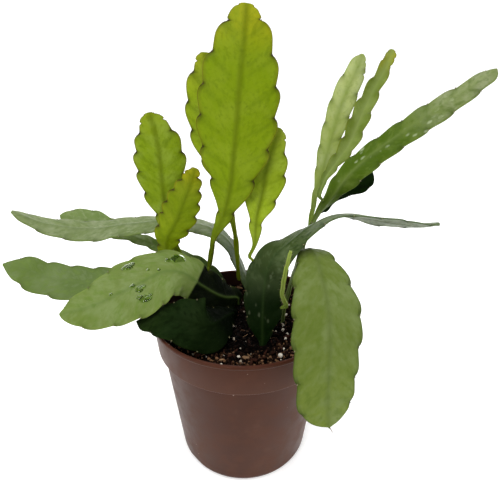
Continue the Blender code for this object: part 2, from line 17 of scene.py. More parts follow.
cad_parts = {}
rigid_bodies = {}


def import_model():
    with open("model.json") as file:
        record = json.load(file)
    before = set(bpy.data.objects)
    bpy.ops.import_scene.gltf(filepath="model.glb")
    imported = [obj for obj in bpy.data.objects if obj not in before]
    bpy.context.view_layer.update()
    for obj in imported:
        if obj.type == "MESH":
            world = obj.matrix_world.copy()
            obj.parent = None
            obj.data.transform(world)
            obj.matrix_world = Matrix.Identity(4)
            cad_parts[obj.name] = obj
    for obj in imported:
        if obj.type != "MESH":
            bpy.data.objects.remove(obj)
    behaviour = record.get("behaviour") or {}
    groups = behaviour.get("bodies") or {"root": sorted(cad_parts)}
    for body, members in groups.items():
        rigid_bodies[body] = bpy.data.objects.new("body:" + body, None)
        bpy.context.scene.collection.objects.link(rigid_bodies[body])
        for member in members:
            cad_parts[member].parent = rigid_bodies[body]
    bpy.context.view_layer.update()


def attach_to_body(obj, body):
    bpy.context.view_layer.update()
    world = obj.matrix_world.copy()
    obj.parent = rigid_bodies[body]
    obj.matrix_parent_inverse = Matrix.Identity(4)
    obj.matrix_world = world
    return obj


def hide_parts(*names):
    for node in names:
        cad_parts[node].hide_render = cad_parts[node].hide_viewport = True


MM = 0.001
SEED = 11
WHITE_LEVEL = 1.3

# Camera: where it stands, how far it is turned up from straight down, and its lens
CAMERA_PLACE = (0.004, -0.227, 0.241)
CAMERA_TILT = 68.6
CAMERA_ROLL = 0.23
CAMERA_LENS = 27.97
SENSOR_WIDTH = 36.0

# Light tent: a round white floor that rises into a wall
TENT_RADIUS = 1.7
TENT_BEND = 0.6
TENT_HEIGHT = 1.4
TENT_SIDES = 96
BEND_STEPS = 12

# Lights: the place, width and power of each. All look at one spot in the middle of the plant.
LIGHT_TARGET = (0.0, 0.0, 0.15)
LIGHTS = {
    "overhead": ((-0.25, -0.15, 1.25), 0.9, 9.5),
    "front": ((-0.45, -0.9, 0.8), 0.5, 6.3),
    "right": ((0.95, -0.1, 0.4), 0.6, 3.6),
    "back": ((0.3, 0.95, 0.8), 0.8, 5.0),
}
SKY_STRENGTH = 0.7

# Pot, as in its solid
POT_HEIGHT = 104.3
RIM_RADIUS = 60.0
BAND_HEIGHT = 21.4
BAND_FOOT = POT_HEIGHT - BAND_HEIGHT
BAND_FOOT_RADIUS = 57.6
BODY_TOP_RADIUS = 54.5
BASE_RADIUS = 44.9
WALL = 1.3
LIP = 0.7
LIP_DEPTH = 2.0
EDGE_ROUND = 0.5
STEP_ROUND = 0.6
FOOT_ROUND = 3.0
FLOOR_SLOPE = 2.5
FLOOR_LIFT = 3.0
CENTRE_FOOT_RADIUS = 14.0
RING_INSIDE_RADIUS = 38.0
OPENING_WIDTH = 20.0
OPENING_HEIGHT = 4.0
OPENING_ANGLES = (104.0, 224.0, 344.0)
OPENING_CUT = 6.4
OPENING_SIDES = 72
DRAIN_HOLES = 6
DRAIN_HOLE_RADIUS = 3.5
DRAIN_CIRCLE_RADIUS = 27.0
DRAIN_TURN = 33.0
DRAIN_CUT = 10.0
DRAIN_SIDES = 32
POT_SIDES = 180
CORNER_ROUND = 0.9
CORNER_STEPS = 4
SHARP_ANGLE = 50

# Pot: how far the marks on its lip, its foot and the step under its band reach, and its colours. The lip
# is painted to the line that its edge shows in this light, the step's pale line is a painted highlight,
# and the dark inside is partly soil stain and partly painted shade.
LIP_MARK = 0.9
LIP_FADE = 0.6
FOOT_MARK = 6.0
STEP_HIGHLIGHT_REACH = 0.8
POT_COLOURS = {
    "plain": (64, 34, 21), "warm": (72, 41, 27), "worn": (92, 58, 42), "dust": (104, 71, 55),
    "foot": (90, 58, 44), "speck": (170, 150, 138), "scuff": (44, 24, 18), "lip": (64, 34, 25),
    "inside": (22, 12, 9), "step": (150, 112, 98),
}

# Soil: a plug with a lumpy top. What lies on it gets painted shade near the crown, fading out towards the
# rim
GAP = 0.35
SOIL_TOP = 92.0
SOIL_RADIUS = 56.5
SOIL_STEP_RISE = 1.6
SOIL_RINGS = 90
SOIL_SIDES = 200
SOIL_COLOURS = ((2, 1, 1), (13, 6, 4))
SOIL_REACH = 54.0
SOIL_LIMIT = 56.0
CROWN_SHADE_REACH = 24.0
SHADE_FADE_REACH = 42.0
CROWN_SHADE_BRIGHTNESS = 0.25

# Lumps, crumbs and grit of the soil's top: how high, how many to a millimetre, and where in the noise
SOIL_LAYERS = ((2.0, 0.11, 0.0), (1.2, 0.35, 0.0), (0.7, 0.9, 5.0))

# How far below and above the soil's top the blades' points are kept clear of what is strewn on it
NEAR_BELOW = 6
NEAR_ABOVE = 14

# What is strewn on the soil. rise: how far a grain's middle stands above the soil, as a share of its size
GRAINS = {
    "soil_crumbs": {
        "count": 6600, "sizes": (0.5, 1.6), "stretch": (1.0, 0.8, 0.7), "rise": 0.35, "ball": 1,
        "look": "soil_crumbs", "colours": ((1, 1, 1), (26, 13, 8), (126, 92, 66)), "roughness": 0.85,
        "slot": "soil_mix",
    },
    "bark_chips": {
        "count": 330, "sizes": (1.1, 3.3), "stretch": (1.0, 0.5, 0.3), "rise": 0.5, "ball": 2,
        "look": "bark", "colours": ((12, 6, 4), (48, 26, 18), (158, 124, 92)), "roughness": 0.8,
        "slot": "bark",
    },
    "perlite_grains": {
        "count": 150, "sizes": (0.4, 2.0), "stretch": (1.0, 0.85, 0.8), "rise": 0.6, "ball": 2,
        "look": "perlite", "colours": ((150, 138, 122), (206, 198, 184), (236, 232, 224)),
        "roughness": 0.85, "slot": "perlite",
    },
}
FIBRES = 170
FIBRE_REACH = 52
FIBRE_LENGTHS = (3, 8)
FIBRE_RADIUS = 0.2
FIBRE_CLEARANCE = 2.0

# Blades: the form that they share with their solids
CURVE_STEPS = 24
SLOPE_REACH = 1.5
LEAST_LOBES = 3
LOBE_ROUNDNESS = 0.6
LOBE_LEAN = 2.0
LOBE_PAIRING = (0.0, 0.5)
YOUNG_CROWDING = 1.3
YOUNG_BLUNTNESS = 3.4
OLD_BLUNTNESS = 2.0
NOTCH_LIMIT = 0.3
NOTCH_FREE_ROOT = 5.0
NOTCH_FREE_TIP = 3.0
FOLD = 0.08
WAVE = 0.03
WAVE_LENGTH = 2.3
MARGIN_THICKNESS = 0.8
TIP_WIDTH = 1.6
FOOT_WIDTH = 1.6
NECK_WIDTH = 3.0
NECK_LENGTH = 3.0
NECK_FULLNESS = 9.0
RIB_SHARE = 0.35
RIB_LEAST = 0.9
SEAT_GAP = 0.95
ROOT_DEPTH = 14.0
FOOT_DEPTH = 1.4

# Blades: how finely they are divided, closest at the tip, the midrib and the margins
ROW_SPACING = 0.8
TIP_STRETCH = (0.6, 10.0)
TIP_ROW_SPACING = 0.3
LAST_ROWS = (0.4, 0.25, 0.1, 0.02)
INNER_COLUMNS = 27
COLUMN_CROWDING = 1.3
EDGE_BAND = 0.5
EDGE_SHARE = 0.3
EDGE_COLUMNS = (0.0, 0.12, 0.5)

# Blades: relief and markings, with the small notches at the tips of young shoots
TIP_SCALLOPS = {1: (1.1, 5.8), -1: (1.0, 5.2)}
SCALLOP_DEPTH = 1.5
SCALLOP_SHARE = 0.22
SCALLOP_REACH = 0.5
VEIN_SLOPE = 0.7
VEIN_WIDTH = 0.6
VEIN_SHADE = 1.5
RIB_MARK = 0.85
EDGE_MARK = 0.55
HOLLOW_WIDTH = 2.2
NOTCH_SPOT = 1.5
NOTCH_SHADE = 4.2
TIP_SPOT = 0.9
RIDGE_WIDTH = 1.3
YOUNG_RIDGE = 0.35
OLD_RIDGE = 0.2
BODY_SHARE = 0.62
BODY_FALL = 0.8
SWELL_RISE = 0.5
CREASE_DEPTH = 0.2
HOLLOW_DEPTH = 0.45
SHOULDER_CURL = 0.35
BROAD_HALF = 6.0
MARKS_END = 0.94
MARKS_FADE = 0.06
LUMP_HEIGHT = 0.5
LUMPS_PER_MM = 0.09
FLECK_COLOUR = (168, 180, 140)
BACK_SEED = 40.0

# Hairs, and the woolly cushions in the notches. Each kind of wool has a dark and a pale colour.
PALE_WOOL = ((74, 70, 40), (140, 134, 100))
DARK_WOOL = ((40, 24, 10), (92, 70, 34))
CUSHION_RADIUS = 0.34
YOUNG_CUSHION_RADIUS = 0.36
HAIR_RADIUS = 0.06
BRISTLES = 70
BRISTLE_RADIUS = 0.1
BRISTLE_LENGTHS = (1.0, 2.2)
TIP_HAIR_RADIUS = 0.42
TIP_HAIRS = ((0.5, 6.2), (0.05, 2.6), (-0.3, 1.8))
YOUNG_SLOTS = ("leaf_young", "leaf_yellow")

# The same stems and shoots as the solids have.
# route: places along the midrib, each with the blade's width and, where it changes, the way that its
# outer face looks.
STEMS = {
    "stem_main": {
        "route": (
            (12, -24, 94, 6, -0.1, -1, 0.1), (12, -23, 103, 16), (12, -22, 113, 23, -0.1, -1, 0.2),
            (13, -20, 132, 25, -0.2, -1, 0.3), (17, -18, 147, 25, -0.4, -0.7, 0.5),
            (29, -15, 158, 24, -0.5, -0.1, 0.85), (44, -12, 169, 24, -0.3, 0.25, 0.95),
            (61, -10, 173, 23, 0, 0.35, 1), (84, -8, 169, 21, 0.1, 0.5, 0.9),
            (104, -6, 166, 18, 0, 0.45, 0.9), (118, -5, 166, 12),
        ),
        "lobe": 17, "notch": 1.3, "rib": 3.0, "tip": 9, "slot": "leaf_dark",
    },
    "stem_hanging": {
        "route": (
            (38, -12, 94, 5, 0, 1, 0), (39, -11, 104, 7), (40, -8, 130, 10, 0, 1, 0.1),
            (39, -12, 151, 13, 0, 0.5, 0.9), (41, -25, 153, 22, 0, -0.4, 0.9),
            (43, -42, 145, 34, 0.1, -0.7, 0.7), (45, -54, 130, 40, 0.2, -0.9, 0.45),
            (45, -62, 109, 39, 0.25, -0.9, 0.35), (45, -66, 90, 34, 0.25, -0.9, 0.3),
            (46, -67, 80, 30, 0.2, -0.9, 0.3), (47, -68, 72, 24),
        ),
        "lobe": 17, "notch": 1.7, "rib": 3.0, "tip": 11, "pairing": (0.58, 0.6), "slot": "leaf_mid",
    },
    "stem_long_right": {
        "route": (
            (27, 3, 94, 5, 1, 0, -0.2), (28, 4, 104, 8), (34, 7, 128, 10), (40, 8, 150, 9, 1, 0, -0.3),
            (46, 6, 168, 8, 0.7, -0.6, -0.3), (54, 4, 181, 11, 0.3, -0.8, 0.1),
            (64, 3, 195, 16, -0.2, -0.8, 0.5), (78, 1, 209, 17, -0.4, -0.7, 0.6), (103, -3, 229, 16),
            (120, -6, 242, 12), (131, -8, 251, 8),
        ),
        "lobe": 15, "notch": 1.0, "rib": 3.2, "tip": 5, "pairing": (0.25, 0.75), "slot": "leaf_deep",
    },
    "stem_front_left": {
        "route": (
            (-5, 25, 94, 6, 0.4, -0.8, 0.4), (-6, 22, 100, 14, 0.4, -0.8, 0.5),
            (-15, 9, 108, 25, 0.3, -0.8, 0.6), (-27, 1, 120, 28, 0.3, -0.7, 0.7),
            (-38, -3, 131, 30, 0.1, -0.6, 0.8), (-50, -7, 134, 37, 0, -0.6, 0.8), (-65, -12, 128, 43),
            (-78, -17, 123, 40, 0.1, -0.6, 0.8), (-92, -22, 118, 30), (-109, -28, 116, 12),
        ),
        "lobe": 16, "notch": 1.3, "rib": 3.0, "tip": 9, "pairing": (0.7, 0.2), "slot": "leaf_light",
    },
    "stem_shaded": {
        "route": (
            (-7, 6, 93, 6, 0.3, -0.7, 0.6), (-8, 3, 98, 11), (-12, -9, 103, 19, 0.2, -0.7, 0.7),
            (-21, -28, 109, 33, 0.1, -0.8, 0.6), (-36, -30, 114, 29, 0, -0.65, 0.75),
            (-50, -26, 113, 24, 0, -0.4, 0.9), (-66, -20, 106, 10, -0.1, -0.3, 0.95),
        ),
        "lobe": 15, "notch": 1.3, "rib": 3.0, "tip": 10, "slot": "leaf_dark",
    },
    "stem_far_left": {
        "route": (
            (-15, 34, 93, 6, 0.3, -0.8, 0.4), (-17, 34, 101, 12, 0.2, -0.8, 0.6),
            (-34, 29, 115, 17, 0.1, -0.7, 0.7), (-62, 22, 118, 21, 0, -0.6, 0.8), (-100, 14, 115, 28),
            (-133, 10, 121, 26, 0.1, -0.6, 0.8), (-148, 8, 129, 21), (-159, 6, 133, 8),
        ),
        "lobe": 17, "notch": 1.6, "rib": 3.0, "tip": 10, "slot": "leaf_light",
    },
    "stem_ribbon_left": {
        "route": (
            (2, 43, 93, 6, 0.9, -0.3, 0.1), (1, 43, 102, 12), (-5, 42, 121, 18, 0.9, -0.2, 0.3),
            (-12, 41, 136, 20, 0.8, -0.2, 0.6), (-24, 41, 146, 21, 0.4, -0.2, 0.9),
            (-40, 41, 150, 22, 0, -0.15, 1), (-62, 41, 151, 24, 0, -0.2, 1),
            (-88, 39, 149, 26, 0, -0.25, 1), (-110, 36, 147, 26, 0, -0.3, 1), (-138, 31, 152, 20),
            (-157, 24, 164, 7, 0.1, -0.3, 1),
        ),
        "lobe": 18, "notch": 1.0, "rib": 2.6, "tip": 8, "slot": "leaf_grey",
    },
    "stem_back_left": {
        "route": (
            (-17, 46, 93, 6, 0.2, -0.8, 0.3), (-20, 47, 102, 9, 0.2, -0.8, 0.4),
            (-34, 50, 114, 10, 0.1, -0.8, 0.5), (-54, 53, 121, 10), (-74, 56, 129, 10, 0, -0.9, 0.4),
            (-90, 59, 134, 11, 0, -0.6, 0.8), (-107, 61, 140, 18, 0, -0.7, 0.7), (-124, 62, 146, 20),
            (-144, 62, 149, 12),
        ),
        "lobe": 15, "notch": 1.2, "rib": 2.6, "tip": 8, "slot": "leaf_light",
    },
}

# parent: the stem, roughly how far along it the foot is, and on which of its two margins
SHOOTS = {
    "shoot_tall": {
        "parent": ("stem_front_left", 46, 1),
        "route": (
            (-20, 9, 150, 5, -0.5, -1, 0.2), (-15, 10, 161, 9, -0.4, -1, 0.2),
            (-11, 10, 172, 18, -0.3, -1, 0.2), (-8, 10, 187, 30, -0.1, -1, 0.1), (-6, 10, 205, 43),
            (-4, 10, 224, 49, 0, -1, 0.1), (-2, 9, 246, 46), (0, 8, 263, 36), (1, 7, 275, 25),
            (2, 6, 283, 12),
        ),
        "lobe": 19.5, "notch": 2.6, "rib": 2.0, "tip": 7, "pairing": (0.57, 0.45),
        "scallops": {1: (1.1, 6.6), -1: (1.2, 8.6)}, "slot": "leaf_young",
    },
    "shoot_behind_left": {
        "parent": ("stem_ribbon_left", 27, -1),
        "route": (
            (-6, 29, 142, 4, 0, -1, 0.1), (-9, 29, 160, 5), (-15, 28, 185, 13), (-22, 26, 211, 23),
            (-24, 23, 238, 24), (-22, 20, 261, 10),
        ),
        "lobe": 19.5, "notch": 2.2, "rib": 1.8, "tip": 8, "pairing": (0.73, 0.7), "slot": "leaf_young",
    },
    "shoot_behind_right": {
        "parent": ("stem_main", 51, -1),
        "route": (
            (7, -4, 153, 4, 0, -1, 0.3), (8, 9, 164, 12, 0, -1, 0.5), (12, 17, 180, 25, 0, -1, 0.2),
            (15, 19, 197, 27, 0, -1, 0.1), (22, 24, 219, 9),
        ),
        "lobe": 17.5, "notch": 2.0, "rib": 1.8, "tip": 8, "pairing": (0.9, 0.0), "slot": "leaf_young",
    },
    "shoot_left": {
        "parent": ("stem_far_left", 42, 1),
        "route": (
            (-51, 27, 143, 7, 0, -1, 0.1), (-53, 26, 162, 18), (-54, 25, 179, 29, 0.1, -1, 0.1),
            (-54, 24, 197, 34), (-55, 23, 213, 28), (-58, 22, 228, 10),
        ),
        "lobe": 15.7, "notch": 2.2, "rib": 1.8, "tip": 7, "pairing": (0.9, 0.05), "slot": "leaf_young",
    },
    "shoot_yellow": {
        "parent": ("stem_far_left", 60, 1),
        "route": (
            (-55, 21, 132, 7, 0.1, -1, 0.1), (-52, 20, 147, 19), (-45, 20, 160, 25), (-40, 20, 172, 24),
            (-35, 19, 184, 17), (-31, 18, 195, 8),
        ),
        "lobe": 10.5, "notch": 2.0, "rib": 1.8, "tip": 5, "pairing": (0.3, 0.7), "slot": "leaf_yellow",
    },
    "shoot_right_pale": {
        "parent": ("stem_long_right", 66, 1),
        "route": (
            (45, 15, 174, 4, -0.2, -1, 0.1), (47, 16, 185, 6, -0.3, -1, 0.1), (50, 17, 197, 11),
            (54, 18, 217, 14), (59, 17, 237, 15), (64, 16, 251, 12), (67, 15, 260, 7),
        ),
        "lobe": 14, "notch": 0.8, "rib": 1.8, "tip": 5, "slot": "leaf_pale",
        "scallops": {1: (3.2, 9.5), -1: (0.8,)},
    },
    "shoot_right_folded": {
        "parent": ("stem_long_right", 84, -1),
        "route": (
            (48, 7, 187, 4, -0.3, -1, 0.2), (53, 12, 195, 7), (63, 13, 210, 11), (69, 13, 227, 12),
            (74, 12, 241, 10), (79, 11, 252, 8), (82, 11, 262, 7),
        ),
        "lobe": 12, "notch": 1.4, "rib": 1.8, "tip": 4, "fold": -0.4, "pairing": (0.4, 0.87),
        "slot": "leaf_pale", "scallops": {1: (0.9, 4.4, 8.2), -1: (1.6, 6.0)},
    },
    "shoot_right_small": {
        "parent": ("stem_long_right", 78, 1),
        "route": (
            (58, 10, 178, 5, 0.1, -0.9, 0.1), (69, 12, 188, 19), (79, 12, 195, 18),
        ),
        "lobe": 12, "notch": 0.8, "rib": 1.6, "tip": 5, "slot": "leaf_dark",
    },
    "shoot_stick": {
        "parent": ("stem_main", 25, 1),
        "route": (
            (23, -27, 129, 2.6, 0, -1, 0.1), (23, -30, 138, 2.6), (24, -32, 148, 2.4), (26, -34, 160, 2),
        ),
        "lobe": 10, "notch": 0.2, "rib": 2.2, "tip": 2, "slot": "leaf_young",
    },
}

# How each blade is coloured: near its root, in its middle and at its tip, then its midrib, its veins,
# its margin, a pale bloom or flecks on it, and how far light passes into it. rise and tips: the shares
# of its length where the middle's and the tip's colour set in. The dark root colours are partly older
# skin and partly painted shade in the crown, and dim is how far the marks fade in that painted shade.
YOUNG = {
    "root": (52, 66, 6), "middle": (121, 144, 9), "tip": (164, 166, 26), "rib": (92, 108, 2),
    "vein": (92, 114, 2), "margin": (98, 80, 20), "bloom": (132, 152, 30), "flecks": 0.0,
    "glow": 0.3, "gloss": 0.45, "specular": 0.07, "relief": 1.0, "rise": (0.0, 0.42),
    "streaks": 0.35, "tips": (0.82, 1.0), "ribband": 0.5, "dim": 0.15,
}
OLD = {
    "root": (44, 66, 22), "middle": (116, 132, 74), "tip": (112, 132, 56), "rib": (92, 112, 54),
    "vein": (98, 120, 52), "margin": (96, 116, 44), "bloom": (136, 148, 104), "flecks": 0.0,
    "glow": 0.08, "gloss": 0.42, "specular": 0.16, "relief": 0.7, "rise": (0.06, 0.34),
    "streaks": 0.75, "tips": (0.66, 1.04), "ribband": 0.2, "dim": 0.15,
}
LOOKS = {
    # stem_main: its near-black root is partly older skin and partly painted shade, and its pale grey far
    # part is partly a painted sheen
    "stem_main": dict(
        OLD, root=(10, 26, 4), middle=(62, 76, 38), tip=(128, 138, 112), rib=(42, 60, 26),
        vein=(40, 58, 24), margin=(70, 88, 48), bloom=(84, 98, 64), flecks=0.15, rise=(0.14, 0.46),
        tips=(0.42, 0.66), specular=0.04, dim=0.04),
    "stem_hanging": dict(
        OLD, root=(36, 58, 16), middle=(96, 111, 50), tip=(106, 122, 46), bloom=(112, 126, 76),
        margin=(50, 66, 14), rib=(84, 98, 46), ribband=0.3, vein=(84, 102, 32), streaks=0.55,
        rise=(0.2, 0.4), specular=0.05),
    "stem_long_right": dict(
        OLD, root=(92, 108, 54), middle=(66, 90, 6), tip=(142, 150, 112), rib=(104, 120, 60),
        vein=(68, 90, 14), bloom=(100, 118, 48), flecks=0.8, rise=(0.25, 0.55), tips=(0.72, 0.9),
        streaks=0.5, specular=0.06),
    # stem_front_left: its part rising from the crown is near black as painted shade, ending sharply where
    # the lit blade starts
    "stem_front_left": dict(
        OLD, root=(3, 8, 1), middle=(106, 122, 64), tip=(104, 122, 56), margin=(118, 136, 64),
        bloom=(120, 136, 84), rise=(0.352, 0.366), rib=(84, 106, 50), specular=0.015, dim=0.015),
    # stem_shaded: its near-black greens are partly older skin and partly painted shade from the front
    # left stem above it
    "stem_shaded": dict(
        OLD, root=(2, 6, 1), middle=(20, 34, 12), tip=(30, 46, 12), rib=(14, 26, 6), vein=(12, 22, 6),
        margin=(28, 42, 14), bloom=(28, 40, 18), specular=0.004, glow=0.0, rise=(0.3, 0.6), dim=0.03),
    "stem_far_left": dict(
        OLD, root=(30, 50, 10), middle=(88, 108, 52), tip=(96, 116, 54), bloom=(108, 124, 78),
        rise=(0.2, 0.5), specular=0.1),
    "stem_ribbon_left": dict(
        OLD, root=(48, 64, 32), middle=(100, 116, 64), tip=(112, 126, 78), rib=(94, 108, 66),
        vein=(92, 108, 60), bloom=(130, 140, 104), flecks=0.3, rise=(0.2, 0.46)),
    "stem_back_left": dict(OLD, root=(40, 62, 18), middle=(86, 110, 42), tip=(100, 120, 56)),
    "shoot_tall": YOUNG,
    "shoot_behind_left": dict(YOUNG, middle=(144, 166, 22), bloom=(152, 172, 46), tip=(160, 168, 36)),
    "shoot_behind_right": dict(
        YOUNG, root=(92, 112, 20), middle=(150, 172, 34), vein=(116, 138, 10), bloom=(158, 178, 58),
        tip=(158, 170, 56)),
    "shoot_left": dict(
        YOUNG, root=(112, 134, 30), middle=(126, 150, 18), bloom=(146, 168, 56), tip=(138, 156, 26)),
    "shoot_yellow": dict(
        YOUNG, root=(82, 106, 6), middle=(122, 143, 10), tip=(168, 166, 20), rib=(94, 112, 2),
        vein=(102, 122, 4), margin=(122, 106, 20), bloom=(134, 150, 26), tips=(0.72, 1.0)),
    "shoot_right_pale": dict(
        YOUNG, root=(96, 118, 36), middle=(151, 165, 88), tip=(176, 186, 118), rib=(124, 142, 64),
        vein=(114, 134, 48), margin=(116, 134, 52), bloom=(160, 172, 116), relief=0.5, tips=(0.5, 0.9)),
    "shoot_right_folded": dict(
        YOUNG, root=(84, 106, 40), middle=(104, 122, 44), tip=(158, 156, 30), rib=(130, 146, 78),
        vein=(100, 120, 38), margin=(104, 110, 16), bloom=(138, 154, 84), relief=0.6),
    # shoot_right_small: its near-black greens are painted shade, as it stands backlit behind the long
    # right stem
    "shoot_right_small": dict(
        OLD, root=(20, 40, 2), middle=(12, 34, 0), tip=(12, 32, 0), rib=(20, 40, 4), vein=(10, 26, 1),
        margin=(14, 30, 3), bloom=(20, 44, 2), specular=0.04),
    "shoot_stick": dict(
        YOUNG, root=(60, 86, 18), middle=(128, 148, 56), tip=(164, 178, 90), rib=(128, 146, 58),
        vein=(120, 140, 52), margin=(140, 158, 72), bloom=(162, 174, 104)),
}

# Water drops on the front left stem: distance along it, share across it, length and width
DROPS = (
    (91.6, 0.74, 9.0, 4.2), (90.1, -0.15, 7.5, 4.6), (93.6, 0.02, 3.6, 2.6), (88.7, -0.5, 9.5, 4.8),
    (92.4, -0.38, 4.0, 2.6), (64.7, 0.62, 10.0, 5.6), (69.4, 0.48, 4.2, 3.0), (107.2, 0.1, 2.2, 1.8),
    (75.3, 0.15, 2.2, 1.6), (81.0, 0.3, 1.8, 1.6),
)


def tone(colour):
    """A surface colour from sRGB values of 0 to 255, as they look in this light."""
    shares = [c / 255 for c in colour]
    linear = [c / 12.92 if c <= 0.04045 else ((c + 0.055) / 1.055) ** 2.4 for c in shares]
    return tuple(c / WHITE_LEVEL for c in linear)


def mesh_object(name, vertices, faces, look):
    """One mesh object from points in millimetres."""
    mesh = bpy.data.meshes.new(name)
    mesh.from_pydata((np.asarray(vertices, float) * MM).tolist(), [], faces)
    mesh.validate()
    mesh.update()
    mesh.materials.append(look)
    mesh.shade_smooth()
    made = bpy.data.objects.new(name, mesh)
    bpy.context.collection.objects.link(made)
    return made


def add_attribute(mesh, name, values):
    """Three numbers for each vertex, which a material reads by name."""
    layer = mesh.attributes.new(name, "FLOAT_VECTOR", "POINT")
    layer.data.foreach_set("vector", np.asarray(values, np.float32).ravel())


class Nodes:
    """Short ways to add and link the nodes of one material."""

    def __init__(self, name):
        self.material = bpy.data.materials.new(name)
        self.material.use_nodes = True
        self.tree = self.material.node_tree
        self.shader = self.tree.nodes["Principled BSDF"]

    def put(self, socket, value):
        if isinstance(value, bpy.types.NodeSocket):
            self.tree.links.new(value, socket)
        elif isinstance(value, tuple) and len(value) == 3 and socket.type == "RGBA":
            socket.default_value = (*value, 1.0)
        else:
            socket.default_value = value

    def add(self, kind, inputs=None, **settings):
        node = self.tree.nodes.new(kind)
        for key, value in settings.items():
            setattr(node, key, value)
        for key, value in (inputs or {}).items():
            self.put(node.inputs[key], value)
        return node

    def attribute(self, name):
        return self.add("ShaderNodeAttribute", attribute_name=name).outputs["Vector"]

    def own_place(self):
        return self.add("ShaderNodeTexCoord").outputs["Object"]

    def stretch(self, place, scale):
        return self.add("ShaderNodeMapping", {"Vector": place, "Scale": scale}).outputs[0]

    def split(self, vector):
        outputs = self.add("ShaderNodeSeparateXYZ", {0: vector}).outputs
        return outputs[0], outputs[1], outputs[2]

    def join(self, x, y, z):
        return self.add("ShaderNodeCombineXYZ", {0: x, 1: y, 2: z}).outputs[0]

    def math(self, operation, a, b=0.0):
        return self.add("ShaderNodeMath", {0: a, 1: b}, operation=operation).outputs[0]

    def times(self, a, b):
        return self.math("MULTIPLY", a, b)

    def mix(self, share, a, b):
        node = self.add("ShaderNodeMix", data_type="RGBA")
        for index, value in ((0, share), (6, a), (7, b)):
            self.put(node.inputs[index], value)
        return node.outputs[2]

    def paint(self, colour, share, over):
        return self.mix(share, colour, tone(over))

    def remap(self, value, low, high, to_low=0.0, to_high=1.0):
        inputs = {0: value, 1: low, 2: high, 3: to_low, 4: to_high}
        return self.add("ShaderNodeMapRange", inputs, interpolation_type="SMOOTHSTEP").outputs[0]

    def noise(self, place, scale, detail=3.0, roughness=0.55):
        inputs = {"Vector": place, "Scale": scale, "Detail": detail, "Roughness": roughness}
        return self.add("ShaderNodeTexNoise", inputs).outputs["Fac"]

    def cells(self, place, scale, output="Distance"):
        return self.add("ShaderNodeTexVoronoi", {"Vector": place, "Scale": scale}).outputs[output]

    def bump(self, height, strength, distance, normal=None):
        inputs = {"Height": height, "Strength": strength, "Distance": distance}
        if normal is not None:
            inputs["Normal"] = normal
        return self.add("ShaderNodeBump", inputs).outputs["Normal"]

    def finish(self, colour, roughness, normal=None, **settings):
        self.put(self.shader.inputs["Base Color"], colour)
        self.put(self.shader.inputs["Roughness"], roughness)
        if normal is not None:
            self.put(self.shader.inputs["Normal"], normal)
        for key, value in settings.items():
            self.put(self.shader.inputs[key.replace("_", " ")], value)
        return self.material


def fleck_share(n, place, fine, amount):
    """Ragged pale flecks, long along the blade and gathered in patches."""
    ragged = n.math("ADD", n.cells(n.stretch(place, (0.34, 0.17, 1.0)), 1.0), n.times(fine, 0.35))
    spots = n.remap(ragged, 0.3, 0.54, 1.0, 0.0)
    patches = n.remap(n.noise(place, 0.08, 2.0), 0.5, 0.64)
    return n.times(n.times(spots, patches), 0.75 * amount)


def leaf_material(name, look):
    """Waxy skin: root to tip colours with painted shade towards the root, midrib, side veins, dark
    notches with painted shade on their shoulders, thin margin, bloom and flecks.
    """
    n = Nodes(name)
    place = n.attribute("place")
    rib, edge, vein = n.split(n.attribute("shape"))
    notch, reach, shoulder = n.split(n.attribute("spot"))
    x, s, seed = n.split(place)
    out = n.math("ABSOLUTE", x)
    climb = n.math("SUBTRACT", s, n.times(out, VEIN_SLOPE))
    broad = n.noise(place, 0.07)
    fine = n.noise(place, 0.45, 4.0, 0.65)
    grain = n.noise(place, 2.2, 3.0, 0.6)
    streaks = n.noise(n.join(n.times(out, 0.35), climb, n.math("ADD", seed, x)), 0.26, 2.5)
    colour = n.mix(n.remap(reach, *look["rise"]), tone(look["root"]), tone(look["middle"]))
    colour = n.paint(colour, n.remap(reach, *look["tips"]), look["tip"])
    # Painted shade: the marks fade towards the root, down to dim, so the painted shade there stays dark
    lit = n.remap(reach, *look["rise"], look["dim"], 1.0)
    marks = (
        (n.remap(broad, 0.42, 0.68, 0.0, 0.65), "bloom"),
        (n.remap(fine, 0.5, 0.75, 0.0, 0.4), "vein"),
        (n.remap(streaks, 0.48, 0.7, 0.0, look["streaks"]), "vein"),
        (n.remap(streaks, 0.48, 0.32, 0.0, 0.6 * look["streaks"]), "bloom"),
        (n.remap(out, 0.3, 3.2, look["ribband"], 0.0), "rib"),
        (n.times(vein, 0.6), "vein"),
        (n.times(edge, 0.75), "margin"),
    )
    for share, key in marks:
        colour = n.paint(colour, n.times(share, lit), look[key])
    colour = n.paint(colour, n.times(rib, n.remap(reach, *look["rise"], 0.45, 0.8)), look["rib"])
    # Painted shade: a dark line along the curled shoulders' margins, and a soft shade round each notch
    # over its own dark spot
    dark = tuple(0.2 * c for c in tone(look["margin"]))
    shoulder_shadow_line = n.times(n.math("POWER", edge, 0.1), n.times(shoulder, 0.5))
    notch_spot_and_shade = n.times(n.math("POWER", notch, 1.8), 0.85)
    colour = n.mix(n.math("MAXIMUM", shoulder_shadow_line, notch_spot_and_shade), colour, dark)
    if look["flecks"]:
        colour = n.paint(colour, fleck_share(n, place, fine, look["flecks"]), FLECK_COLOUR)
    roughness = n.remap(fine, 0.3, 0.75, look["gloss"] - 0.08, look["gloss"] + 0.14)
    roughness = n.math("ADD", roughness, n.times(edge, 0.3))
    normal = n.bump(n.cells(place, 1.7), 0.12, 0.0002)
    normal = n.bump(streaks, look["relief"] * 0.5, 0.0012, normal)
    normal = n.bump(grain, 0.2, 0.00025, normal)
    return n.finish(
        colour, roughness, normal, Subsurface_Weight=look["glow"],
        Subsurface_Radius=(0.8, 1.0, 0.25), Subsurface_Scale=0.0016, IOR=1.45,
        Specular_IOR_Level=look["specular"],
    )


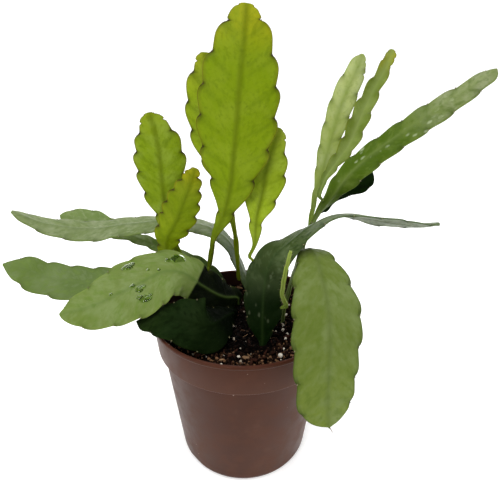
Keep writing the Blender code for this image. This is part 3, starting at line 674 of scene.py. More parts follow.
def wool_material(name, colours):
    """Matt wool, dark and pale in patches."""
    n = Nodes(name)
    shade = n.noise(n.attribute("place"), 1.4)
    dark, pale = (tone(c) for c in colours)
    return n.finish(
        n.mix(n.remap(shade, 0.35, 0.7), dark, pale), n.remap(shade, 0.3, 0.7, 0.75, 0.95),
        n.bump(shade, 0.4, 0.0003), Sheen_Weight=0.08, Sheen_Roughness=0.5, Specular_IOR_Level=0.1,
    )


def water_material():
    """Water tinted green, a painted colour that stands in for the darker leaf seen through it."""
    n = Nodes("water")
    ripple = n.noise(n.attribute("place"), 0.5, 2.0)
    # Painted green tint, standing in for the leaf seen through the drop
    colour = n.mix(ripple, (0.3, 0.42, 0.1), (0.56, 0.68, 0.26))
    return n.finish(
        colour, n.remap(ripple, 0.3, 0.7, 0.03, 0.08), n.bump(ripple, 0.05, 0.0002),
        IOR=1.24, Transmission_Weight=1.0, Specular_IOR_Level=0.08,
    )


def pot_material():
    """Brown satin plastic with dust, specks and scuffs, dark inside from soil stain and painted shade, a
    painted highlight at the band's foot and a painted edge line on the lip.
    """
    n = Nodes("pot_plastic")
    place = n.own_place()
    lip, low, step = n.split(n.attribute("shape"))
    inside = n.split(n.attribute("spot"))[0]
    broad = n.noise(place, 14.0)
    fine = n.noise(place, 90.0, 4.0, 0.6)
    dusty = n.remap(n.noise(place, 30.0, 5.0, 0.7), 0.55, 0.75)
    specks = n.remap(n.cells(place, 160.0), 0.05, 0.09, 1.0, 0.0)
    specks = n.times(specks, n.remap(n.noise(place, 45.0, 2.0), 0.58, 0.62))
    bands = n.noise(n.stretch(place, (60.0, 60.0, 420.0)), 1.0, 4.0)
    scuffs = n.times(n.remap(bands, 0.68, 0.74), n.remap(n.noise(place, 22.0, 2.0), 0.55, 0.62))
    colour = n.mix(n.remap(broad, 0.35, 0.7), tone(POT_COLOURS["plain"]), tone(POT_COLOURS["warm"]))
    marks = (
        (n.times(n.remap(fine, 0.45, 0.75), 0.25), "worn"),
        (n.times(dusty, 0.3), "dust"),
        (n.times(low, n.remap(fine, 0.4, 0.6)), "foot"),
        (n.times(specks, 0.7), "speck"),
        (n.times(scuffs, 0.7), "scuff"),
        # lip: painted edge line; inside: soil stain and painted shade; step: painted highlight
        (n.times(lip, 0.6), "lip"),
        (n.remap(inside, 0.0, 1.0, 0.0, 0.88), "inside"),
        (n.times(step, 0.35), "step"),
    )
    for share, key in marks:
        colour = n.paint(colour, share, POT_COLOURS[key])
    normal = n.bump(n.noise(place, 1500.0, 2.0), 0.12, 0.0001)
    normal = n.bump(n.noise(place, 220.0), 0.06, 0.0004, normal)
    return n.finish(
        colour, n.remap(fine, 0.35, 0.7, 0.38, 0.52), normal, IOR=1.5, Specular_IOR_Level=0.1,
        Specular_Tint=(1.0, 0.66, 0.54), Subsurface_Weight=0.05,
        Subsurface_Radius=(1.0, 0.35, 0.2), Subsurface_Scale=0.001,
    )


def soil_material():
    """Dark mix with uneven crumbs."""
    n = Nodes("soil_mix")
    place = n.own_place()
    fine = n.noise(place, 700.0, 4.0, 0.7)
    shade = n.times(n.split(n.cells(place, 900.0, "Color"))[0], fine)
    wet, dry = (tone(c) for c in SOIL_COLOURS)
    normal = n.bump(n.cells(place, 800.0), 0.8, 0.0008, n.bump(fine, 0.7, 0.0006))
    return n.finish(
        n.mix(n.remap(shade, 0.1, 0.5), wet, dry), n.remap(fine, 0.3, 0.7, 0.7, 0.98), normal,
        Specular_IOR_Level=0.02,
    )


def grain_material(name, colours, roughness):
    """Crumbs, chips or grains. Each vertex brings its own grain's shade in the attribute: a random tone,
    darkened near the crown as painted shade.
    """
    n = Nodes(name)
    shade, warm, _ = n.split(n.attribute("shape"))
    fine = n.noise(n.own_place(), 900.0, 4.0, 0.65)
    low, middle, high = (tone(c) for c in colours)
    colour = n.mix(n.remap(shade, 0.0, 0.6), low, middle)
    colour = n.mix(n.times(n.remap(warm, 0.6, 1.0), 0.9), colour, high)
    colour = n.mix(n.times(n.remap(fine, 0.5, 0.8), 0.6), colour, low)
    rough = n.remap(fine, 0.3, 0.7, roughness - 0.1, roughness + 0.08)
    return n.finish(colour, rough, n.bump(fine, 0.6, 0.0004), Specular_IOR_Level=0.03)


def floor_material():
    """White paper that glows a little as painted light, with painted grey shade far out at the front that
    shiny surfaces reflect as a darker room.
    """
    n = Nodes("floor_paper")
    place = n.own_place()
    colour = n.mix(n.noise(place, 3.0, 2.0), (0.88, 0.88, 0.88), (0.91, 0.91, 0.91))
    # Painted shade: grey far out at the front, seen in reflections as a darker room
    front = n.remap(n.split(place)[1], -0.95, -0.3, 1.0, 0.0)
    return n.finish(
        n.mix(front, colour, (0.3, 0.3, 0.3)), 0.9, Specular_IOR_Level=0.1,
        # Painted light: the paper glows a little
        Emission_Color=(1.0, 1.0, 1.0), Emission_Strength=0.22,
    )


def smooth_path(route):
    """Points, widths and facings on a Catmull-Rom curve through the route."""
    rows = []
    facing = ()
    for place in route:
        facing = place[4:] or facing
        rows.append(place[:4] + facing)
    rows = np.array(rows, float)
    padded = np.vstack([2 * rows[0] - rows[1], rows, 2 * rows[-1] - rows[-2]])
    t = (np.arange(CURVE_STEPS) / CURVE_STEPS)[:, None]
    samples = []
    for k in range(len(rows) - 1):
        a, b, c, d = padded[k:k + 4]
        samples.append(0.5 * (
            2 * b + (c - a) * t + (2 * a - 5 * b + 4 * c - d) * t ** 2 + (3 * b - a - 3 * c + d) * t ** 3
        ))
    samples.append(rows[-1:])
    return np.vstack(samples)


def unit(vectors):
    return vectors / np.linalg.norm(vectors, axis=-1, keepdims=True)


def by_side(side, make, *values):
    """A value for each point: for margin -1 where its side is below 0, and else for margin 1."""
    return np.where(side < 0, make(*values, -1), make(*values, 1))


class Blade:
    """A flat stem: its midrib, its frame along the midrib, its margins and its two faces."""

    def __init__(self, name, plan, rng):
        self.name = name
        self.plan = plan
        self.samples = smooth_path(plan["route"])
        steps = np.linalg.norm(np.diff(self.samples[:, :3], axis=0), axis=1)
        self.lengths = np.concatenate([[0.0], np.cumsum(steps)])
        self.length = float(self.lengths[-1])
        self.lobes = max(LEAST_LOBES, round(self.length / plan["lobe"]))
        self.pitch = self.length / self.lobes
        self.pairing = plan.get("pairing", LOBE_PAIRING)
        self.young = plan["slot"] in YOUNG_SLOTS and plan["tip"] > 4
        self.crowding = YOUNG_CROWDING if self.young else 1.0
        self.fold = plan.get("fold", FOLD)
        self.phase = rng.random()
        self.scallops = plan.get("scallops", TIP_SCALLOPS if self.young else None)

    def at(self, distance):
        """Place, width and facing at distances along the midrib."""
        inside = np.clip(distance, 0.0, self.length)
        return np.stack([np.interp(inside, self.lengths, self.samples[:, k]) for k in range(7)], -1)

    def frame(self, distance):
        """Points, widths, and the along, across and outward directions at distances along the blade."""
        distance = np.asarray(distance, float)
        here = self.at(distance)
        along = unit(self.at(distance + SLOPE_REACH)[..., :3] - self.at(distance - SLOPE_REACH)[..., :3])
        outward = here[..., 4:7]
        outward = unit(outward - along * (outward * along).sum(-1, keepdims=True))
        across = unit(np.cross(along, outward))
        past = distance - np.clip(distance, 0.0, self.length)
        point = here[..., :3] + along * past[..., None]
        return point, here[..., 3], along, across, outward

    def shift(self, side):
        """Where the lobes of one margin start, as a share of a lobe."""
        return self.pairing[1 if side > 0 else 0]

    def lobe_turn(self, distance, side):
        """Place within a lobe: 0 at the notch below it, 1 at the notch above."""
        share = np.clip(distance, 0.0, self.length) / self.length
        return (self.lobes * share ** self.crowding + self.shift(side)) % 1.0

    def half_width(self, distance, side):
        """Width from the midrib to one margin, with its tip, its lobes and its small notches."""
        width = self.at(distance)[..., 3] / 2
        left = self.length - np.asarray(distance, float)
        share = np.clip(1 - left / self.plan["tip"], 0.0, 1.0)
        blunt = YOUNG_BLUNTNESS if self.young else OLD_BLUNTNESS
        width = width * (1 - share ** blunt) ** (1 / blunt)
        turn = self.lobe_turn(distance, side)
        bump = np.clip(np.sin(math.pi * turn ** LOBE_LEAN), 0, 1) ** LOBE_ROUNDNESS
        notch = np.minimum(self.plan["notch"], width * NOTCH_LIMIT)
        scallop = np.minimum(SCALLOP_DEPTH, SCALLOP_SHARE * width) * self.scallop(left, side)
        return np.maximum(width - notch * (1 - bump) - scallop, TIP_WIDTH / 2)

    def scallop(self, left, side):
        """Share of a small notch in the tip's edge of a young shoot."""
        if not self.scallops:
            return 0.0 * left
        return sum(np.exp(-np.abs((left - at) / SCALLOP_REACH) ** 1.3) for at in self.scallops[side])

    def margin_lift(self, distance, side, half):
        """How far the margin stands out of the blade's plane, from its fold and its waves."""
        turn = np.asarray(distance, float) / (WAVE_LENGTH * self.pitch) + self.phase
        return half * (WAVE * np.sin(math.tau * turn + side) - self.fold)

    def margin(self, distance, side):
        """A point on the margin."""
        point, _, _, across, outward = self.frame(distance)
        half = self.half_width(distance, side)
        return point + across * half * side + outward * self.margin_lift(distance, side, half)

    def notches(self, side):
        """Distances of the notches of one margin, clear of the blade's ends."""
        shares = [(k - self.shift(side)) / self.lobes for k in range(1, self.lobes + 2)]
        spots = [self.length * s ** (1 / self.crowding) for s in shares if 0 < s < 1]
        spots = [s for s in spots if NOTCH_FREE_ROOT < s < self.length - NOTCH_FREE_TIP]
        return spots + [self.length - at for at in (self.scallops[side] if self.scallops else ())]

    def facts(self, distance, share):
        """Relief and markings at a distance along the blade and a share across it, from -1 to 1."""
        point, _, along, across, outward = self.frame(distance)
        side = np.where(share < 0, -1, 1)
        half = by_side(share, self.half_width, distance)
        out = np.abs(share)
        reach = np.clip(distance / self.length, 0, 1)
        rise = distance + VEIN_SLOPE * (1 - out) * half
        turn = by_side(share, self.lobe_turn, rise)
        here = by_side(share, self.lobe_turn, distance)
        local_pitch = self.pitch / (self.crowding * np.maximum(reach, 0.15) ** (self.crowding - 1))
        gap = np.minimum(turn, 1 - turn) * local_pitch
        inward = (1 - out) * half
        notch_gap = np.hypot(np.minimum(here, 1 - here) * local_pitch, inward)
        broad = np.clip(half / BROAD_HALF, 0, 1) * np.clip(1 - (reach - MARKS_END) / MARKS_FADE, 0, 1)
        veined = np.clip(out * 3, 0, 1)
        notch = self.notch_mark(notch_gap, here) * broad
        return SimpleNamespace(
            point=point, along=along, across=across, outward=outward,
            side=side, half=half, out=out, reach=reach,
            rib=np.exp(-(out * half / RIB_MARK) ** 2) * np.clip(1.15 - reach, 0, 1),
            edge=np.exp(-(inward / EDGE_MARK) ** 2),
            crease=np.exp(-(gap / VEIN_WIDTH) ** 2) * veined * (0.35 + 0.65 * out) * broad,
            vein=np.exp(-(gap / VEIN_SHADE) ** 1.4) * veined * (0.3 + 0.7 * out) * broad,
            notch=np.maximum(notch, self.tip_mark(distance, side, inward)),
            hollow=np.exp(-(notch_gap / HOLLOW_WIDTH) ** 2) * broad,
            shoulder=np.clip((here - 0.62) / 0.3, 0, 1) * broad,
            swell=np.sin(math.pi * turn) * out * (1 - out ** 4) * broad,
        )

    def notch_mark(self, gap, here):
        """Dark spot at a notch, with a soft painted shade mostly on the shoulder below it, where the
        curled shoulder lies in shade.
        """
        spot = 0.9 if self.young else 0.55
        # soft: painted shade, strongest on the shoulder below the notch
        soft = (0.8 if self.young else 0.2) * np.where(here > 0.5, 1.0, 0.3)
        mark = spot * np.exp(-(gap / NOTCH_SPOT) ** 2) + soft * np.exp(-(gap / NOTCH_SHADE) ** 1.5)
        return np.clip(mark, 0, 1)

    def tip_mark(self, distance, side, inward):
        """Dark spots in the small notches of a young tip."""
        mark = by_side(side, self.scallop, self.length - distance - SCALLOP_REACH)
        return np.clip(mark, 0, 1) ** 2 * np.exp(-(inward / TIP_SPOT) ** 2)

    def surface(self, distance, share, face, relief):
        """Points of one face, with the ridge of the midrib, swells between veins and curled shoulders."""
        f = self.facts(distance, share)
        width = self.at(distance)[..., 3]
        rib = np.minimum(self.plan["rib"], RIB_SHARE * width + RIB_LEAST) / 2
        full = np.minimum(rib * 2.4, NECK_FULLNESS / np.maximum(width, 1.0))
        edge = np.maximum(MARGIN_THICKNESS, full) / 2
        ridge = (YOUNG_RIDGE if self.young else OLD_RIDGE) * rib
        ridge = ridge * np.exp(-(f.out * f.half / RIDGE_WIDTH) ** 2)
        body = edge + (rib * BODY_SHARE - edge) * (1 - f.out) ** BODY_FALL
        band = np.minimum(EDGE_BAND / f.half, EDGE_SHARE)
        round_off = np.clip((f.out - (1 - band)) / band, 0, 1)
        thick = np.maximum(body + ridge, 0.05) * np.sqrt(np.clip(1 - round_off ** 2, 0, 1))
        lift = self.margin_lift(distance, f.side, f.half) * f.out ** 1.15
        swell = SWELL_RISE * f.swell - CREASE_DEPTH * f.crease - HOLLOW_DEPTH * f.hollow
        lift = lift + relief * swell
        lift = lift - relief * SHOULDER_CURL * f.shoulder * f.out ** 6
        offset = f.across * (f.half * share)[..., None]
        return f.point + offset + f.outward * (lift + face * thick)[..., None], f


def blade_rows(blade, start):
    """Distances along the blade, closer together near the tip."""
    rows = int((blade.length - start) / ROW_SPACING)
    spots = np.linspace(start, blade.length - LAST_ROWS[-1], rows)
    tip_rows = np.append(np.arange(*TIP_STRETCH, TIP_ROW_SPACING), LAST_ROWS)
    return np.unique(np.round(np.append(spots[:-1], blade.length - tip_rows), 4))


def blade_shares(blade, spots):
    """Shares across the blade for each row, closer together at the midrib and at both margins."""
    inner = np.linspace(-1, 1, INNER_COLUMNS)
    inner = np.sign(inner) * np.abs(inner) ** COLUMN_CROWDING
    half = np.minimum(blade.half_width(spots, -1), blade.half_width(spots, 1))
    band = np.minimum(EDGE_BAND / half, EDGE_SHARE)[:, None]
    margins = 1 - band * np.array(EDGE_COLUMNS)
    return np.hstack([-margins, inner * (1 - band), margins[:, ::-1]])


def blade_piece(blade, look, rooted):
    """The fine blade, closed all round, with what its material reads."""
    spots = blade_rows(blade, -ROOT_DEPTH if rooted else -FOOT_DEPTH)
    shares = blade_shares(blade, spots)
    count = shares.shape[1]
    distance = np.repeat(spots[:, None], count, axis=1)
    front, f = blade.surface(distance, shares, 1.0, look["relief"])
    back, _ = blade.surface(distance, shares, -1.0, look["relief"])
    add_lumps(blade, front, back, f, look["relief"])
    ring = np.concatenate([front, back[:, -2:0:-1]], axis=1)
    size = ring.shape[1]
    faces = []
    for r in range(len(spots) - 1):
        a, b = r * size, (r + 1) * size
        for k in range(size):
            after = (k + 1) % size
            faces.append((a + k, a + after, b + after, b + k))
    faces.append(tuple(range(size))[::-1])
    last = (len(spots) - 1) * size
    faces.append(tuple(range(last, last + size)))
    name = blade.name + "_skin"
    made = mesh_object(name, ring.reshape(-1, 3), faces, leaf_material(name, look))
    order = list(range(count)) + list(range(count - 2, 0, -1))
    across = f.half * shares
    layers = {
        "shape": (f.rib, f.edge, f.vein),
        "spot": (f.notch, f.reach, f.shoulder),
        "place": (across, distance, np.full_like(across, blade.phase * 500)),
    }
    for layer, values in layers.items():
        values = np.stack(values, -1)[:, order]
        if layer == "place":
            values[:, count:, 2] += BACK_SEED
        add_attribute(made.data, layer, values.reshape(-1, 3))
    return made


def add_lumps(blade, front, back, f, relief):
    """Soft uneven swell of the whole blade, alike on both faces."""
    seat = blade.phase * 90
    for r in range(front.shape[0]):
        for c in range(front.shape[1]):
            x, y, z = front[r, c] * LUMPS_PER_MM
            lump = noise.noise(Vector((x + seat, y, z)))
            calm = min(1.0, f.half[r, c] / BROAD_HALF)
            push = f.outward[r, c] * lump * LUMP_HEIGHT * relief * calm
            front[r, c] += push
            back[r, c] += push


def ball(subdivisions):
    """Points and faces of a small icosphere of radius 1."""
    shape = bmesh.new()
    bmesh.ops.create_icosphere(shape, subdivisions=subdivisions, radius=1.0)
    points = np.array([v.co[:] for v in shape.verts])
    faces = np.array([[v.index for v in face.verts] for face in shape.faces])
    shape.free()
    return points, faces


class Heap:
    """Many small bodies gathered into one mesh."""

    def __init__(self):
        self.points = []
        self.faces = []
        self.tags = []
        self.count = 0

    def add(self, points, faces, tag):
        self.points.append(points)
        self.faces += (np.asarray(faces) + self.count).tolist()
        self.tags.append(np.repeat([tag], len(points), axis=0))
        self.count += len(points)

    def piece(self, name, look, attribute):
        made = mesh_object(name, np.vstack(self.points), self.faces, look)
        add_attribute(made.data, attribute, np.vstack(self.tags))
        return made


def turn_matrix(rng):
    """A random turn, as a 3 by 3 array."""
    axis = Vector((rng.gauss(0, 1), rng.gauss(0, 1), rng.gauss(0, 1))).normalized()
    return np.array(Matrix.Rotation(rng.uniform(0, math.tau), 3, axis))


def hair(root, direction, length, radius, bend):
    """A thin tapered three-sided hair that bends as it goes."""
    direction = unit(np.asarray(direction, float))
    side = unit(np.cross(direction, [0.31, 0.52, 0.79]))
    other = np.cross(direction, side)
    points = []
    for step in range(4):
        share = step / 4
        middle = root + direction * length * share + side * bend * share ** 2
        for k in range(3):
            angle = math.tau * k / 3
            reach = radius * (1 - 0.75 * share)
            points.append(middle + (side * math.cos(angle) + other * math.sin(angle)) * reach)
    points.append(root + direction * length + side * bend)
    faces = []
    for step in range(3):
        for k in range(3):
            a, b = 3 * step + k, 3 * step + (k + 1) % 3
            faces += [(a, b, b + 3), (a, b + 3, a + 3)]
    for k in range(3):
        faces.append((9 + k, 9 + (k + 1) % 3, 12))
    faces.append((2, 1, 0))
    return np.array(points), faces


def add_areole(heap, blade, distance, side, rng, young):
    """A small woolly cushion in a notch, with a few short hairs."""
    points, faces = BALLS[2]
    _, _, along, across, outward = blade.frame(distance)
    seat = blade.margin(distance, side)
    away = across * side
    lumps = 1 + 0.25 * np.array([noise.noise(Vector(p * 1.7 + rng.uniform(0, 50))) for p in points])
    local = points * lumps[:, None] * (YOUNG_CUSHION_RADIUS if young else CUSHION_RADIUS)
    cushion = np.outer(local[:, 0], along) * 1.4 + np.outer(local[:, 1], away)
    cushion = cushion + np.outer(local[:, 2], outward)
    tag = (rng.uniform(0, 60), rng.uniform(0, 60), rng.uniform(0, 60))
    heap.add(seat + cushion - away * 0.05, faces, tag)
    for _ in range(3 if young else rng.choice((2, 3, 4))):
        lean = away + along * rng.uniform(-0.2, 0.9) + outward * rng.uniform(-0.7, 0.7)
        length = rng.uniform(0.4, 0.9) if young else rng.uniform(0.7, 1.6)
        heap.add(*hair(seat, lean, length, HAIR_RADIUS, rng.uniform(-0.2, 0.2)), tag)


def areoles_piece(blade, rng, look):
    """The woolly cushions in all notches of a blade, with their hairs."""
    heap = Heap()
    young = blade.plan["slot"] in (*YOUNG_SLOTS, "leaf_pale")
    for side in (-1, 1):
        for distance in blade.notches(side):
            add_areole(heap, blade, distance, side, rng, young)
    if blade.name == "shoot_stick":
        add_bristles(heap, blade, rng)
    return heap.piece(blade.name + "_areoles", look, "place")


def add_bristles(heap, blade, rng):
    """Bristles all round the new stick shoot, from above its foot to its tip."""
    for k in range(BRISTLES):
        distance = 4 + (blade.length - 4) * k / BRISTLES
        point, _, along, across, outward = blade.frame(distance)
        angle = rng.uniform(0, math.tau)
        out = across * math.cos(angle) + outward * math.sin(angle)
        length = rng.uniform(*BRISTLE_LENGTHS)
        bristle = hair(point + out * 0.9, out + along * 0.5, length, BRISTLE_RADIUS, 0.1)
        heap.add(*bristle, (9.0, 9.0, 9.0))


def tip_hair_piece(blade, look):
    """The dark bristle at the tip of the hanging stem, and two short ones beside it."""
    heap = Heap()
    tip = blade.frame(np.array(blade.length - 0.5))[0]
    for lean, length in TIP_HAIRS:
        heap.add(*hair(tip, (lean, -0.1, -1.0), length, TIP_HAIR_RADIUS, 0.4), (3.0, length, 7.0))
    return heap.piece("hanging_tip_hairs", look, "place")


def drops_piece(blade, rng):
    """Flat drops of water lying on the upper face."""
    points, faces = BALLS[4]
    heap = Heap()
    for distance, share, long, wide in DROPS:
        spot = np.array([distance])
        top, f = blade.surface(spot, np.array([share]), 1.0, LOOKS[blade.name]["relief"])
        seed = rng.uniform(0, 90)
        wobble = np.array([noise.noise(Vector((p[0] * 1.3 + seed, p[1] * 1.3, 0))) for p in points])
        flat = points * (1 + 0.35 * wobble)[:, None]
        rise = points[:, 2]
        height = np.where(rise > 0, 0.75, 0.1) * np.sign(rise) * np.abs(rise) ** 0.8
        local = np.outer(flat[:, 0] * long / 2, f.along[0])
        local = local + np.outer(flat[:, 1] * wide / 2, f.across[0])
        heap.add(top[0] + local + np.outer(height, f.outward[0]), faces, (seed, distance, share))
    return heap.piece("water_drops", water_material(), "place")


def rounded(profile, radius):
    """A turned profile whose corners are rounded by short curves."""
    out = [profile[0]]
    for before, corner, after in zip(profile, profile[1:], profile[2:]):
        a, c, b = (np.array(p, float) for p in (before, corner, after))
        reach = min(radius, 0.45 * np.linalg.norm(a - c), 0.45 * np.linalg.norm(b - c))
        first, last = c + unit(a - c) * reach, c + unit(b - c) * reach
        for step in range(CORNER_STEPS + 1):
            t = step / CORNER_STEPS
            out.append(tuple((1 - t) ** 2 * first + 2 * t * (1 - t) * c + t ** 2 * last))
    out.append(profile[-1])
    return out


def wall_radius(height):
    """Outside radius of the pot's tapered body."""
    share = height / BAND_FOOT
    return BASE_RADIUS + (BODY_TOP_RADIUS - BASE_RADIUS) * share


def pot_profile():
    """The pot's section from the middle of its floor up the inside, over the rim and down the outside."""
    floor_out = [
        (0.0, WALL), (CENTRE_FOOT_RADIUS - WALL, WALL),
        (CENTRE_FOOT_RADIUS + FLOOR_SLOPE - WALL / 2, WALL + FLOOR_LIFT),
        (RING_INSIDE_RADIUS, WALL + FLOOR_LIFT), (RING_INSIDE_RADIUS + FLOOR_SLOPE, WALL),
        (BASE_RADIUS - 2 * WALL, WALL),
    ]
    inside_up = [
        (wall_radius(FOOT_ROUND) - WALL, FOOT_ROUND), (BODY_TOP_RADIUS - WALL, BAND_FOOT + STEP_ROUND),
        (BAND_FOOT_RADIUS - WALL, BAND_FOOT + 2 * STEP_ROUND),
        (RIM_RADIUS - WALL - LIP, POT_HEIGHT - EDGE_ROUND),
        (RIM_RADIUS - WALL - LIP + EDGE_ROUND, POT_HEIGHT),
    ]
    outside_down = [
        (RIM_RADIUS - EDGE_ROUND, POT_HEIGHT), (RIM_RADIUS, POT_HEIGHT - EDGE_ROUND),
        (RIM_RADIUS, POT_HEIGHT - LIP_DEPTH), (RIM_RADIUS - LIP, POT_HEIGHT - LIP_DEPTH - STEP_ROUND),
        (BAND_FOOT_RADIUS, BAND_FOOT + STEP_ROUND), (BAND_FOOT_RADIUS - STEP_ROUND, BAND_FOOT),
        (BODY_TOP_RADIUS, BAND_FOOT - STEP_ROUND / 2), (wall_radius(FOOT_ROUND), FOOT_ROUND),
        (BASE_RADIUS - FOOT_ROUND / 4, FOOT_ROUND / 4), (BASE_RADIUS - FOOT_ROUND * 3 / 4, 0.0),
        (RING_INSIDE_RADIUS + FLOOR_SLOPE / 2, 0.0), (RING_INSIDE_RADIUS - WALL / 2, FLOOR_LIFT),
        (CENTRE_FOOT_RADIUS + FLOOR_SLOPE, FLOOR_LIFT), (CENTRE_FOOT_RADIUS, 0.0), (0.0, 0.0),
    ]
    return rounded(floor_out + inside_up + outside_down, CORNER_ROUND)


def circle(radius, height, sides):
    """Points of a level circle round the axis."""
    angles = [math.tau * k / sides for k in range(sides)]
    return [(radius * math.cos(angle), radius * math.sin(angle), height) for angle in angles]


def turned(profile, sides, closed=True):
    """Points and faces of a turned form whose profile starts at the axis, and ends there if closed."""
    vertices = [(0.0, 0.0, profile[0][1])]
    rims = profile[1:-1] if closed else profile[1:]
    for radius, height in rims:
        vertices += circle(radius, height, sides)
    if closed:
        vertices.append((0.0, 0.0, profile[-1][1]))
    faces = []
    last = 1 + (len(rims) - 1) * sides
    for k in range(sides):
        after = (k + 1) % sides
        faces.append((0, 1 + k, 1 + after))
        for a in range(1, last, sides):
            b = a + sides
            faces.append((a + k, b + k, b + after, a + after))
        if closed:
            faces.append((last + k, last + sides, last + after))
    return vertices, faces


def cutter(radius, middle, axis, half_length, sides):
    """A cylinder to cut the pot with."""
    turn = Vector(axis).to_track_quat("Z", "Y").to_matrix()
    rims = circle(radius, -half_length, sides) + circle(radius, half_length, sides)
    vertices = [tuple(turn @ Vector(p) + Vector(middle)) for p in rims]
    faces = [tuple(range(sides))[::-1], tuple(range(sides, 2 * sides))]
    for k in range(sides):
        after = (k + 1) % sides
        faces.append((k, after, after + sides, k + sides))
    return mesh_object("cutter", vertices, faces, bpy.data.materials["pot_plastic"])


def cut_away(target, tools):
    """Cut the tools out of the target, then remove them."""
    for tool in tools:
        boolean = target.modifiers.new("cut", "BOOLEAN")
        boolean.operation = "DIFFERENCE"
        boolean.solver = "EXACT"
        boolean.object = tool
    graph = bpy.context.evaluated_depsgraph_get()
    cut_mesh = bpy.data.meshes.new_from_object(target.evaluated_get(graph))
    target.modifiers.clear()
    target.data = cut_mesh
    for tool in tools:
        bpy.data.objects.remove(tool, do_unlink=True)


def mark_pot(pot):
    """Where the pot's lip, foot, step and inside are, for its material, which paints an edge line on the
    lip, a highlight on the step and shade inside.
    """
    x, y, z = (np.array([v.co[:] for v in pot.data.vertices]) / MM).T
    out = np.hypot(x, y)
    lip = np.clip((z - (POT_HEIGHT - LIP_MARK)) / LIP_FADE, 0, 1)
    low = np.clip(1 - z / FOOT_MARK, 0, 1)
    step = np.exp(-((z - BAND_FOOT) / STEP_HIGHLIGHT_REACH) ** 2) * (out > BODY_TOP_RADIUS)
    band_share = np.clip(1 - (POT_HEIGHT - z) / BAND_HEIGHT, 0, 1)
    band_wall = BAND_FOOT_RADIUS + (RIM_RADIUS - LIP - BAND_FOOT_RADIUS) * band_share
    outer = np.where(band_share > 0, band_wall, wall_radius(z))
    inside = (out < outer - 0.6 * WALL) * (z > WALL + FLOOR_LIFT) * (z < POT_HEIGHT - EDGE_ROUND)
    add_attribute(pot.data, "shape", np.stack([lip, low, step], -1))
    add_attribute(pot.data, "spot", np.stack([inside, inside, inside], -1))


def pot_piece():
    """The pot with rounded edges, drain holes and low openings in its foot."""
    look = pot_material()
    pot = mesh_object("pot_shell", *turned(pot_profile(), POT_SIDES), look)
    tools = []
    for number in range(DRAIN_HOLES):
        angle = math.tau * number / DRAIN_HOLES + math.radians(DRAIN_TURN)
        middle = (DRAIN_CIRCLE_RADIUS * math.cos(angle), DRAIN_CIRCLE_RADIUS * math.sin(angle), 0.0)
        tools.append(cutter(DRAIN_HOLE_RADIUS, middle, (0, 0, 1), DRAIN_CUT, DRAIN_SIDES))
    radius = (OPENING_WIDTH ** 2 / 4 + OPENING_HEIGHT ** 2) / (2 * OPENING_HEIGHT)
    for degrees in OPENING_ANGLES:
        angle = math.radians(degrees)
        outward = Vector((math.cos(angle), math.sin(angle), 0.0))
        middle = outward * (BASE_RADIUS + WALL) + Vector((0, 0, OPENING_HEIGHT - radius))
        tools.append(cutter(radius, middle, outward, OPENING_CUT, OPENING_SIDES))
    cut_away(pot, tools)
    pot.data.shade_smooth()
    pot.data.set_sharp_from_angle(angle=math.radians(SHARP_ANGLE))
    mark_pot(pot)
    return pot


def soil_height(x, y):
    """Height of the lumpy top of the soil at one place."""
    height = SOIL_TOP
    for rise, per_mm, z in SOIL_LAYERS:
        height += noise.noise(Vector((x, y, z)) * per_mm) * rise
    return height


def soil_piece():
    """The plug of soil, with a crumbly top that reaches the pot's wall."""
    step = BAND_FOOT + 2 * STEP_ROUND + GAP
    floor = WALL + FLOOR_LIFT + GAP
    profile = [(SOIL_RADIUS * k / SOIL_RINGS, SOIL_TOP) for k in range(SOIL_RINGS + 1)]
    profile += [
        (BAND_FOOT_RADIUS - WALL - GAP, step + SOIL_STEP_RISE), (BODY_TOP_RADIUS - WALL - GAP, step),
        (wall_radius(floor) - WALL - 2 * GAP, floor), (0.0, floor),
    ]
    vertices, faces = turned(profile, SOIL_SIDES)
    lifted = [(x, y, soil_height(x, y) if z == SOIL_TOP else z) for x, y, z in vertices]
    return mesh_object("soil_bed", lifted, faces, soil_material())


def green_tree(pieces):
    """Places of all blade points near the soil, to keep the crumbs clear of them."""
    near = []
    for made in pieces:
        points = np.empty(len(made.data.vertices) * 3)
        made.data.vertices.foreach_get("co", points)
        points = points.reshape(-1, 3) / MM
        z = points[:, 2]
        near.append(points[(z > SOIL_TOP - NEAR_BELOW) & (z < SOIL_TOP + NEAR_ABOVE)])
    near = np.vstack(near)
    tree = KDTree(len(near))
    for k, p in enumerate(near):
        tree.insert(Vector(p), k)
    tree.balance()
    return tree


def soil_spot(reach, rng):
    """A random place on the soil: its distance from the middle, x and y."""
    angle = rng.uniform(0, math.tau)
    out = reach * math.sqrt(rng.random())
    return out, out * math.cos(angle), out * math.sin(angle)


